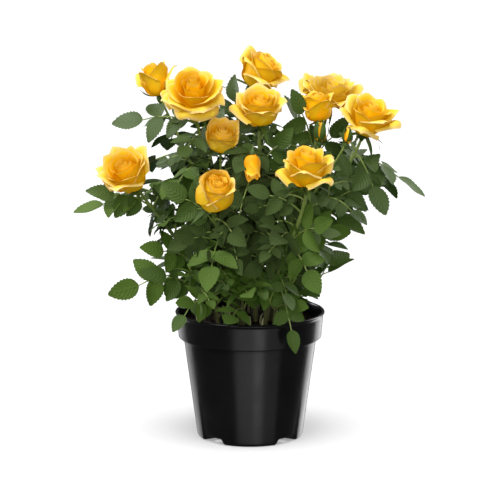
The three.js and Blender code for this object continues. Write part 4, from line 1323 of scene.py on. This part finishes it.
# %% Make the leaves
# Least and most of each look: fold, sag, twist, breadth, ripple and the ripple's phase.
LOOK_RANGES = ((0.05, 0.42), (0.0, 0.22), (-0.25, 0.25), (0.88, 1.12), (0.0, 0.02), (0, 6.28))
for kind, name in enumerate(("leaves_deep", "leaves_dark", "leaves_mid", "leaves_fresh")):
    looks = np.array([rng.uniform(low, high, len(tinted[kind])) for low, high in LOOK_RANGES])
    group = many_sheets(*leaflet_sheets(tinted[kind], looks), leaf_tones[kind])
    make_piece(name, group, leaf_finishes[kind], GREEN_NODES)

# %% [markdown]
# ## Stems
# Canes, twigs, bloom stalks and leaf stalks are all the same idea: a ring carried along a curve. A
# bevelled curve object does that quickly, but its skin stays perfectly even. A numpy tube can swell
# at each leaf joint and carry low ridges of bark, so the canes get one, with prickles set into it.

# %% Tubes along curves
RIDGES, RIDGE_TWIST, RIDGE_WAVES = 3, 43.96, 11
JOINTS, FIRST_JOINT, JOINT_WIDTH = 7.3, 0.3, 0.09
SIDE_AXIS = np.array([1.0, 0, 0])
# Distance off the cane, half width and drop of each ring of a prickle.
PRICKLE_RINGS = ((0.8, 0.85, 0.0), (1.6, 0.42, 0.18), (2.2, 0.16, 0.45), (2.6, 0.03, 0.75))
SQUARE = ((1, 0), (0, 1), (-1, 0), (0, -1))
PRICKLED_PART, PRICKLE_SIZES = (0.08, 0.85), (1.6, 2.7)


def tube_sheets(controls, radii, rows, sides, relief=0.0, joints=0.0):
    """Tubes along curves of the same kind. The ring at share t has the radius that runs evenly
    through radii, times 1 + relief x ridges that wind round it, times 1 + joints x about seven even
    swellings."""
    a, t = full_turn(sides), np.linspace(0, 1, rows)[:, None]
    ridges = 1 + relief * np.sin(RIDGES * a + RIDGE_TWIST * t) * np.sin(RIDGE_WAVES * t + a)
    swelling = 1 + joints * np.exp(-(((t * JOINTS + FIRST_JOINT) % 1 - 0.5) / JOINT_WIDTH) ** 2)
    tubes = []
    for control, radius in zip(controls, np.broadcast_to(radii, (len(controls), np.shape(radii)[-1]))):
        middle, way = on_curve(control, t[:, 0]), heading_on(control, t[:, 0])
        side = np.cross(way, SIDE_AXIS if abs(way[0] @ SIDE_AXIS) < 0.9 else UP)
        side /= np.linalg.norm(side, axis=1, keepdims=True)
        size = np.interp(t, np.linspace(0, 1, len(radius)), radius) * ridges * swelling
        ring = side[:, None] * np.cos(a)[:, None] + np.cross(way, side)[:, None] * np.sin(a)[:, None]
        tubes.append(middle[:, None] + ring * size[..., None])
    return np.array(tubes)


def tube_group(draw, controls, radii, **skin):
    """Tubes as one group, each with a tone by chance."""
    tones = [chance(k, draw) for k in range(len(controls))]
    return round_sheets(tube_sheets(controls, radii, **skin), tones)


def prickles(line, count, seed):
    """Prickles: a four-sided spike that starts wide on the cane and hooks downwards."""
    made = []
    for k in range(count):
        t = between(seed, 3 * k, *PRICKLED_PART)
        middle, way = on_curve(line.control, t), heading_on(line.control, t)
        out = sideways(way, GOLDEN_TURN * k + 40 * chance(seed, 3 * k + 1))
        across, size = np.cross(way, out), between(seed, 3 * k + 2, *PRICKLE_SIZES)
        rows = []
        for along, half, drop in PRICKLE_RINGS:
            centre = middle + out * (0.5 + 0.38 * along * size) - way * drop * size * 0.6
            rows.append([centre + half * (c * way * 1.25 + s * across * 0.55) * 0.8 for c, s in SQUARE])
        made.append(rows)
    return np.array(made)


# %% Canes, low shoots and prickles
# Radii along each kind of stem, in millimetres, from its foot to its end.
SLENDER, STOUT = (2.1, 1.8, 1.55, 1.35, 1.2, 1.1), (2.1, 1.85, 1.7, 1.6, 1.55, 1.5)
LOW_SHOOT, STUB = (1.6, 1.3, 1.0, 0.9), (1.0, 0.8, 0.45)
BLOOM_TWIG, FINE_TWIG, LEAF_STALK = (1.2, 0.95), (0.8, 0.5), (0.85, 0.65, 0.5)
# Rows and sides of each kind of tube, and how far its ridges and joints stand out.
CANE_SKIN = dict(rows=90, sides=10, relief=0.05, joints=0.16)
LOW_SHOOT_SKIN = dict(rows=40, sides=10, relief=0.05, joints=0.14)
STUB_SKIN = dict(rows=10, sides=7, relief=0.05, joints=0.2)
TWIG_SKIN = dict(rows=16, sides=7, relief=0.02, joints=0.08)
STALK_SKIN = dict(rows=8, sides=5)
CANE_PRICKLES, SKIRT_PRICKLES, PRICKLE_TONE = 9, 4, 0.8

crowns = [s for s in shoots if s["blooms"]]
skirts = [s for s in shoots if not s["blooms"]]
cane_radii = [STOUT if s["name"] == "front_right" else SLENDER for s in crowns]
spikes = np.concatenate([
    prickles(s["line"], CANE_PRICKLES if s["blooms"] else SKIRT_PRICKLES, s["seed"]) for s in shoots
])
cane_group = joined(
    tube_group(1, [s["line"].control for s in crowns], cane_radii, **CANE_SKIN),
    tube_group(2, [s["line"].control for s in skirts], LOW_SHOOT, **LOW_SHOOT_SKIN),
    round_sheets(spikes, np.full(len(spikes), PRICKLE_TONE)),
)
make_piece("canes", cane_group, bark_finish, STEM_NODES + CROWN_NODES)

# %% Dry stubs, twigs and leaf stalks
STUBS, STUB_SEED = 22, 77
# Least and most distance from the axis, height and lean outwards of a stub, in millimetres.
STUB_REACHES, STUB_HEIGHTS, STUB_LEANS = (12, 46), (7, 20), (-6, 8)
stubs = []
for k in range(STUBS):
    out = leaning(90, GOLDEN_TURN * k + 40)
    foot = out * between(STUB_SEED, 3 * k, *STUB_REACHES) + UP * SOIL_HEIGHT
    height = between(STUB_SEED, 3 * k + 1, *STUB_HEIGHTS)
    lean = between(STUB_SEED, 3 * k + 2, *STUB_LEANS)
    stubs.append([foot, foot + UP * 0.6 * height, foot + UP * height + out * lean])
stub_group = tube_group(6, stubs, STUB, **STUB_SKIN)
make_piece("dry_shoots", stub_group, dry_finish, STEM_NODES)

bloom_twigs = [twig for s in shoots for twig in s["twigs"]]
twig_radii = [BLOOM_TWIG] * len(bloom_twigs) + [FINE_TWIG] * len(fine_twigs)
twig_group = joined(
    tube_group(4, [twig.control for twig in bloom_twigs + fine_twigs], twig_radii, **TWIG_SKIN),
    round_sheets(tube_sheets(stalks, LEAF_STALK, **STALK_SKIN), stalk_tones),
)
make_piece("twigs", twig_group, twig_finish, GREEN_NODES)

# %% [markdown]
# ## Blooms
# A double rose opens from a tight twisted heart to wide outer petals that roll back at the rim. A
# bloom could be modelled petal by petal. Here one formula draws every petal: a strip that leaves the
# cup's foot, leans out as far as its place in the bloom asks, and curls at its tip. Petals follow
# each other by the golden turn, from the innermost (share 0) to the outermost (share 1).

# %% How a petal leans
# Degrees off the bloom's axis. A bloom opens from 0 to 1: below CLOSED it clasps its petals, from
# WIDE on its outer ones and from LOOSE on all of them spread further.
FOOT_LEAN, FOOT_SPREAD, CUP_LEAN, OPEN_SPREAD, OUTER_SPREAD = 46, 44, -9, 30, 62
WIDE_SPREAD, LOOSE_SPREAD, CLOSING = 45, 38, 26
CLOSED, WIDE, LOOSE = 0.3, 0.7, 0.85
TIP_CURL, OUTER_CURL, LEAN_JITTER, CURL_JITTER = 6, 80, 13, 0.3
# Shares of the petals, from the heart outwards.
FOOT_SETTLED, CUP_SETTLED = 0.35, 0.6


def walked(lean, step):
    """Where a strip gets to that leans off the axis row by row: out and up are the running sums of
    the sine and the cosine times the step, and the first row stays at the start."""
    out, rise = np.sin(lean) * step, np.cos(lean) * step
    return np.cumsum(out, 1) - out[:, :1], np.cumsum(rise, 1) - rise[:, :1]


def past(opening, start):
    """0 up to the start, then evenly up to 1 for a fully open bloom."""
    return max(0, opening - start) / (1 - start)


def petal_leans(opening, curl, flare, share, jitter):
    """Each petal's lean off the axis at its foot, in the cup and at the curled tip, and how far a
    closed bloom pulls its petals in. They grow outwards and with the opening. The last value goes
    from 0 to 1 over the outer petals."""
    outer = np.clip((share - CUP_SETTLED) / (1 - CUP_SETTLED), 0, 1)
    foot = FOOT_LEAN + FOOT_SPREAD * np.minimum(1, share / FOOT_SETTLED) * (0.6 + min(0.4, opening))
    loose = LOOSE_SPREAD * past(opening, LOOSE)
    spread = OPEN_SPREAD * opening + WIDE_SPREAD * past(opening, WIDE) - loose
    cup = CUP_LEAN + loose + spread * smooth(share / CUP_SETTLED)
    cup = cup + (OUTER_SPREAD * opening * outer**1.4 + jitter(LEAN_JITTER) * outer) * flare
    tip = (TIP_CURL + OUTER_CURL * share**1.3) * curl * (0.45 + 0.6 * opening) * (1 + jitter(CURL_JITTER))
    closing = CLOSING * max(0, 1 - opening / CLOSED)
    return *(np.radians(angle) for angle in (foot, cup, tip, closing)), outer


# %% Petals of one bloom
PETAL_ROWS, PETAL_COLUMNS = 15, 13
# Shares of the bloom's width.
PETAL_LENGTH, SHORTER_OPEN, LENGTH_JITTER = 1.22, 0.7, 0.05
HEART_WRAP, OUTER_WRAP, TUCK = 0.07, 0.11, 0.045
RIPPLE, LOOSE_RIPPLE, RIPPLES, RIPPLE_JITTER = 0.03, 0.05, 4.5, 3
# Shares of the petal's length.
HALF_WIDTH, FOOT_SHARE, WIDEST_AT = 0.5, 0.26, 0.62
TIP_POINT, POINT_WIDTH, ROUNDING, OUTER_ROUNDING, CURLS_FROM = 0.13, 0.25, 0.10, 0.22, 0.62
SPIN_JITTER, WIDTH_QUANTILE, HEIGHT_QUANTILE = 9, 0.985, 0.99


def petal_sheets(bloom, look, seed):
    """Petal points in the bloom's own frame. Along a petal the lean off the axis goes from the foot's
    lean to the cup's lean and then curls outwards; out and up are the running sums of its sine and
    cosine. Across it the strip wraps round the axis, one edge tucked in and the other standing out.
    At the end the bloom is scaled to its measured width and height."""
    *_, width, opening, _, _ = bloom
    count, heart, curl, flare, spin, size, height, unfolded = look
    opening = opening * unfolded
    share = (np.arange(count) / max(1, count - 1)) ** 1.1
    r = np.random.default_rng(seed)

    def jitter(spread):
        """A random number from -spread to spread for each petal."""
        return r.uniform(-spread, spread, count)[:, None, None]

    s, turn = share[:, None, None], GOLDEN_TURN * np.arange(count)[:, None, None]
    u, v = np.linspace(-1, 1, PETAL_COLUMNS)[None, None], np.linspace(0, 1, PETAL_ROWS)[None, :, None]
    length = width * (PETAL_LENGTH - SHORTER_OPEN * opening) * (heart + (1 - heart) * np.minimum(1, 2 * s))
    length = length * (1 + jitter(LENGTH_JITTER))
    foot, cup, tip, closing, outer = petal_leans(opening, curl, flare, s, jitter)
    top = 1 - (ROUNDING + OUTER_ROUNDING * s) * np.abs(u) ** (2.4 - 0.8 * s)
    top = top + TIP_POINT * s * np.exp(-np.abs(u / POINT_WIDTH) ** 1.5)
    at = v * top
    late = np.maximum(0, (at - CURLS_FROM + 0.20 * s * u**2) / (1 - CURLS_FROM))
    settled = smooth(at / 0.5)
    lean = foot * (1 - settled) + cup * settled + tip * (1 + 2 * s * u**2) * late**2
    lean = lean - closing * smooth((at - 0.4) / 0.5)
    out, rise = walked(lean, length * top / (PETAL_ROWS - 1))
    out, rise = out + 0.4 + s, rise + 1.2 * (1 - s)
    widening = FOOT_SHARE + (1 - FOOT_SHARE) * smooth(at / WIDEST_AT)
    half = length * (HALF_WIDTH - 0.03 * s) * widening
    wrap = np.maximum(out * (1 + 0.35 * outer * opening), width * (HEART_WRAP + OUTER_WRAP * s))
    reach = wrap + width * TUCK * u * (1 - 0.6 * s)
    ripple = width * (RIPPLE + LOOSE_RIPPLE * past(opening, LOOSE))
    wave = ripple * np.sin(u * RIPPLES + jitter(RIPPLE_JITTER))
    rise = rise + wave * s * late * (0.4 + opening)
    x, y = out - wrap + reach * np.cos(u * half / wrap), reach * np.sin(u * half / wrap)
    x, y = spun(x, y, np.radians(turn + spin + jitter(SPIN_JITTER)))
    points = np.stack([x, y, rise], -1)
    points[..., :2] *= 0.5 * width * size / np.quantile(np.hypot(x, y), WIDTH_QUANTILE)
    points[..., 2] *= 2 * neck_depth(bloom) * height / np.quantile(rise, HEIGHT_QUANTILE)
    return points, strip_uv(u, v), share


# %% From the bloom's own frame to its place
def stand_up(points, bloom):
    """Moves points from the bloom's own frame (neck at the origin, axis up) to its place: a turn
    about the level axis that carries up to the bloom's axis."""
    axis = leaning(bloom[5], bloom[6])
    level = np.cross(UP, axis)
    sine = np.linalg.norm(level)
    level = level / sine if sine > 1e-9 else SIDE_AXIS
    angle = math.degrees(math.atan2(sine, axis[2]))
    return points @ np.array([turned(way, level, angle) for way in np.eye(3)]) + neck_of(bloom)


# %% Looks of each bloom
# Petals, heart's share of the height, curl and flare of the rims, first turn, then the shares of the
# plain bloom's width, height and opening.
BLOOM_LOOKS = {
    "far_left": [(23, 0.88, 0.8, 0.15, 20, 0.91, 0.94, 0.9)],
    "left": [(26, 0.92, 1.1, 0.35, 105, 0.92, 0.9, 1.0), (14, 0.92, 1.2, 0.8, 150, 1.1, 1.0, 1.0)],
    "front_left": [(15, 0.95, 0.6, 0.05, 200, 0.87, 1.0, 0.4), (17, 0.92, 0.5, 0.05, 10, 0.9, 0.85, 0.8)],
    "middle": [(20, 0.8, 1.0, 0.25, 100, 1.0, 0.86, 1.0), (9, 0.92, 0.4, 0.0, 0, 0.85, 1.12, 1.0)],
    "back_middle": [(18, 0.85, 1.3, 0.8, 240, 1.16, 0.9, 1.0), (20, 0.8, 1.0, 1.0, 0, 0.9, 0.9, 1.0)],
    "front_right": [(19, 0.86, 1.3, 0.8, 140, 1.0, 0.95, 1.0)],
    "right": [
        (13, 0.95, 1.0, 0.3, 80, 1.05, 0.9, 1.0), (7, 0.95, 0.2, 0.0, 0, 0.85, 1.1, 1.0),
        (6, 0.95, 0.2, 0.0, 0, 0.85, 1.1, 1.0),
    ],
    "back_right": [(34, 0.5, 0.5, 0.3, 140, 1.06, 0.9, 0.93)],
    "far_right": [(19, 0.70, 1.1, 0.6, 300, 0.96, 0.85, 1.0)],
    "rear_left": [(22, 0.8, 1.0, 0.8, 0, 1.0, 0.95, 1.0), (18, 0.85, 0.8, 0.6, 90, 1.0, 0.95, 1.0)],
    "rear_right": [(19, 0.85, 0.9, 0.6, 45, 1.0, 0.95, 1.0), (22, 0.8, 1.0, 0.9, 180, 1.0, 0.95, 1.0)],
}
# How much paler than its place asks each bloom of a crown is. Part of this is painted light: the
# second front-left bloom and the back-right bloom are made paler against the shade that falls on
# them. The other values give a bloom a deeper or paler yellow of its own. All others have 0.
PALER_WITH_PAINTED_LIGHT = {
    "middle": (0.05, -1.0), "back_right": (0.6,), "right": (-0.1, 0, 0), "front_left": (0, 0.35),
    "far_left": (-0.1,),
}
MIDDLE_FROM, OUTER_FROM = 0.34, 0.68

petals, petal_tones = [[], [], []], [[], [], []]
for shoot in crowns:
    looks, shifts = BLOOM_LOOKS[shoot["name"]], PALER_WITH_PAINTED_LIGHT.get(shoot["name"], (0, 0))
    for bloom, look, shift in zip(shoot["blooms"], looks, shifts):
        points, petal_uv, share = petal_sheets(bloom, look, int(1000 + 7 * sum(map(abs, bloom[:3]))))
        points = stand_up(points, bloom)
        # The shift holds painted light for the blooms in shade, as well as each bloom's own yellow.
        place_in_bloom = share * (0.35 + 0.75 * min(1, bloom[4] * 1.5)) + shift
        kind = np.digitize(place_in_bloom, (MIDDLE_FROM, OUTER_FROM))
        for layer in range(3):
            petals[layer].extend(points[kind == layer])
            petal_tones[layer].extend(share[kind == layer] * min(1, 3 * bloom[4]) + shift)
for layer, name in enumerate(("petals_heart", "petals_middle", "petals_outer")):
    group = many_sheets(np.array(petals[layer]), petal_uv, petal_tones[layer])
    make_piece(name, group, petal_finishes[layer], CROWN_NODES)

# %% [markdown]
# Under each bloom sits the hip, a small green urn, with five narrow sepals. They fold back under an
# open bloom and still clasp a bud. Two buds show no more than a stripe of yellow between them.

# %% Hips and sepals
# Distance from the axis and height of each ring of a hip of size 1.
HIP_RINGS = ((0.34, -2.6), (0.5, -2.2), (0.86, -1.5), (1.0, -0.8), (0.95, -0.25), (0.7, 0.15))
HIP_SIDES, HIP_TONE = 12, 0.35
SEPAL_TONES = (0.2, 0.5, 0.8, 0.4, 0.65)
SEPAL_ROWS, SEPAL_COLUMNS, SEPAL_SEED = 10, 5, 50
# Blooms narrower than BUD_WIDTH are buds. The next four are shares of a bud's width.
BUD_WIDTH, BUD_LENGTH, BUD_OUT, BUD_TOP, BUD_HALF = 14, 1.5, 0.56, 0.12, 0.34
# Under an open bloom: least and most length of a sepal, and its half width as a share of that.
SHORTEST, LONGEST, SEPAL_HALF = 14, 22, 0.12
# Sepals curl back above this opening and in below it, by degrees for a whole opening.
CURLS_BACK_FROM, CURL_BACK, CURL_IN, MOST_CURL_IN = 0.42, 150, 450, -60


def hip_size(bloom):
    """The hip's radius, which grows with the bloom up to a limit."""
    return min(3.0, 0.05 * bloom[3] + 1.4)


def hip_sheets(bloom):
    """A small urn turned round the bloom's axis: narrow neck, round belly, slight waist."""
    out, height = (np.array(HIP_RINGS) * hip_size(bloom)).T[..., None]
    return stand_up(round_points(out, full_turn(HIP_SIDES), height), bloom)


def bud_sepals(bloom, v, jitter):
    """Sepals that clasp a bud: they follow its round side, out = hip + bulge sin(pi v), and close
    over its top. Returns out, rise, half width and the radius that the sepal is bent round."""
    width, hip = bloom[3], 0.7 * hip_size(bloom)
    out = hip + (BUD_OUT * width - hip) * np.sin(np.pi * np.minimum(1, v / 1.06)) ** 0.7
    out = out + width * BUD_TOP * smooth((v - 0.8) / 0.2)
    half = width * BUD_HALF * (1 - v) ** 0.7 * (0.55 + 0.9 * v) + 0.15
    return out, BUD_LENGTH * width * (1 + 0.08 * jitter) * v, half, np.maximum(out, 0.5 * width)


def open_sepals(bloom, v, jitter):
    """Sepals under an open bloom lean out and back, the more the wider it is open: out and up are
    the running sums of the lean's sine and cosine. Returns the same as bud_sepals."""
    width, opening, size = bloom[3], bloom[4], hip_size(bloom)
    length = np.clip(0.7 * width, SHORTEST, LONGEST) * (1 + 0.1 * jitter)
    back = opening - CURLS_BACK_FROM
    curl = back * CURL_BACK if back > 0 else max(MOST_CURL_IN, back * CURL_IN)
    lean = np.radians(84 + 16 * opening + 12 * jitter) + np.radians(curl + 15 * jitter) * v**1.6
    out, rise = walked(lean, length / (SEPAL_ROWS - 1))
    half = length * SEPAL_HALF * np.clip((1 - v) ** 1.2 * (0.6 + 1.6 * v), 0.02, None)
    out = size * 0.75 + out
    return out, rise, half, np.maximum(out, 2 * size)


def sepal_sheets(bloom, seed):
    """Five lance shapes that start at the hip's rim, each a strip bent across its width."""
    u = np.linspace(-1, 1, SEPAL_COLUMNS)[None, None]
    v = np.linspace(0, 1, SEPAL_ROWS)[None, :, None]
    jitter = np.random.default_rng(seed).uniform(-1, 1, (len(SEPAL_TONES), 1, 1))
    out, rise, half, bend = (bud_sepals if bloom[3] < BUD_WIDTH else open_sepals)(bloom, v, jitter)
    x, y = out - bend * (1 - np.cos(half * u / bend)), bend * np.sin(half * u / bend)
    x, y = spun(x, y, np.radians(72 * np.arange(len(SEPAL_TONES))[:, None, None] + 20 * jitter))
    return stand_up(np.stack([x, y, rise + 0 * x], -1), bloom), strip_uv(u, v)


# %% Make the hips and sepals
blooms = [bloom for shoot in shoots for bloom in shoot["blooms"]]
hips = np.array([hip_sheets(bloom) for bloom in blooms])
sepal_parts, sepal_uvs = zip(*(sepal_sheets(bloom, SEPAL_SEED + k) for k, bloom in enumerate(blooms)))
group = joined(
    round_sheets(hips, np.full(len(hips), HIP_TONE)),
    many_sheets(np.concatenate(sepal_parts), sepal_uvs[0], np.tile(SEPAL_TONES, len(blooms))),
)
make_piece("hips_and_sepals", group, sepal_finish, CROWN_NODES)

# %% [markdown]
# ## Ground
# A wide pale floor catches the pot's soft shadow. It belongs to the studio, not to the plant. Two
# wide suns fall on nothing but the floor, and only the pot stands in their way, so its shadow is soft
# on both sides and the leaves throw none. The floor isn't mirrored and throws no light back.

# %% Floor
FLOOR_RINGS, FLOOR_SIDES = (0.02, 0.5, 2, 8, 30.0), 48
SUN_STRENGTH, SUN_WIDTH, SUN_TILT, SUN_SLOPES = 7.0, 44, 10, {"left": -15, "right": 15}

material, *_ = new_material(
    "white_ground", Base_Color=rgb(0.20, 0.20, 0.20), Roughness=0.7, Specular_IOR_Level=0.1,
    Emission_Color=rgb(1, 1, 1), Emission_Strength=0.32,
)
rings = np.array(FLOOR_RINGS)[:, None] * MM_PER_M
floor = add_object("floor", closed_mesh("floor", round_points(rings, full_turn(FLOOR_SIDES), 0)[None]))
floor.data.materials.append(material)
floor.visible_glossy = floor.visible_diffuse = False
ground_only = only_for("ground_only", floor)
for side, slope in SUN_SLOPES.items():
    data = bpy.data.lights.new("light_ground_" + side, "SUN")
    data.energy, data.angle = SUN_STRENGTH, math.radians(SUN_WIDTH)
    sun = add_object(data.name, data)
    sun.rotation_euler = (math.radians(SUN_TILT), math.radians(slope), 0)
    confine(sun, ground_only, pot_only)
floor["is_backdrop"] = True
print("floor of", len(floor.data.polygons), "faces")

# %% [markdown]
# ## Size
# The dressed plant has to fill the same box as the plain solids. Both boxes are written down so that
# they can be compared.

# %% Print both boxes and finish
boxes = {"cad": cad_box, "visual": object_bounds()}
for name, (low, high) in boxes.items():
    print(name, [round(1000 * c, 1) for c in low], [round(1000 * c, 1) for c in high])
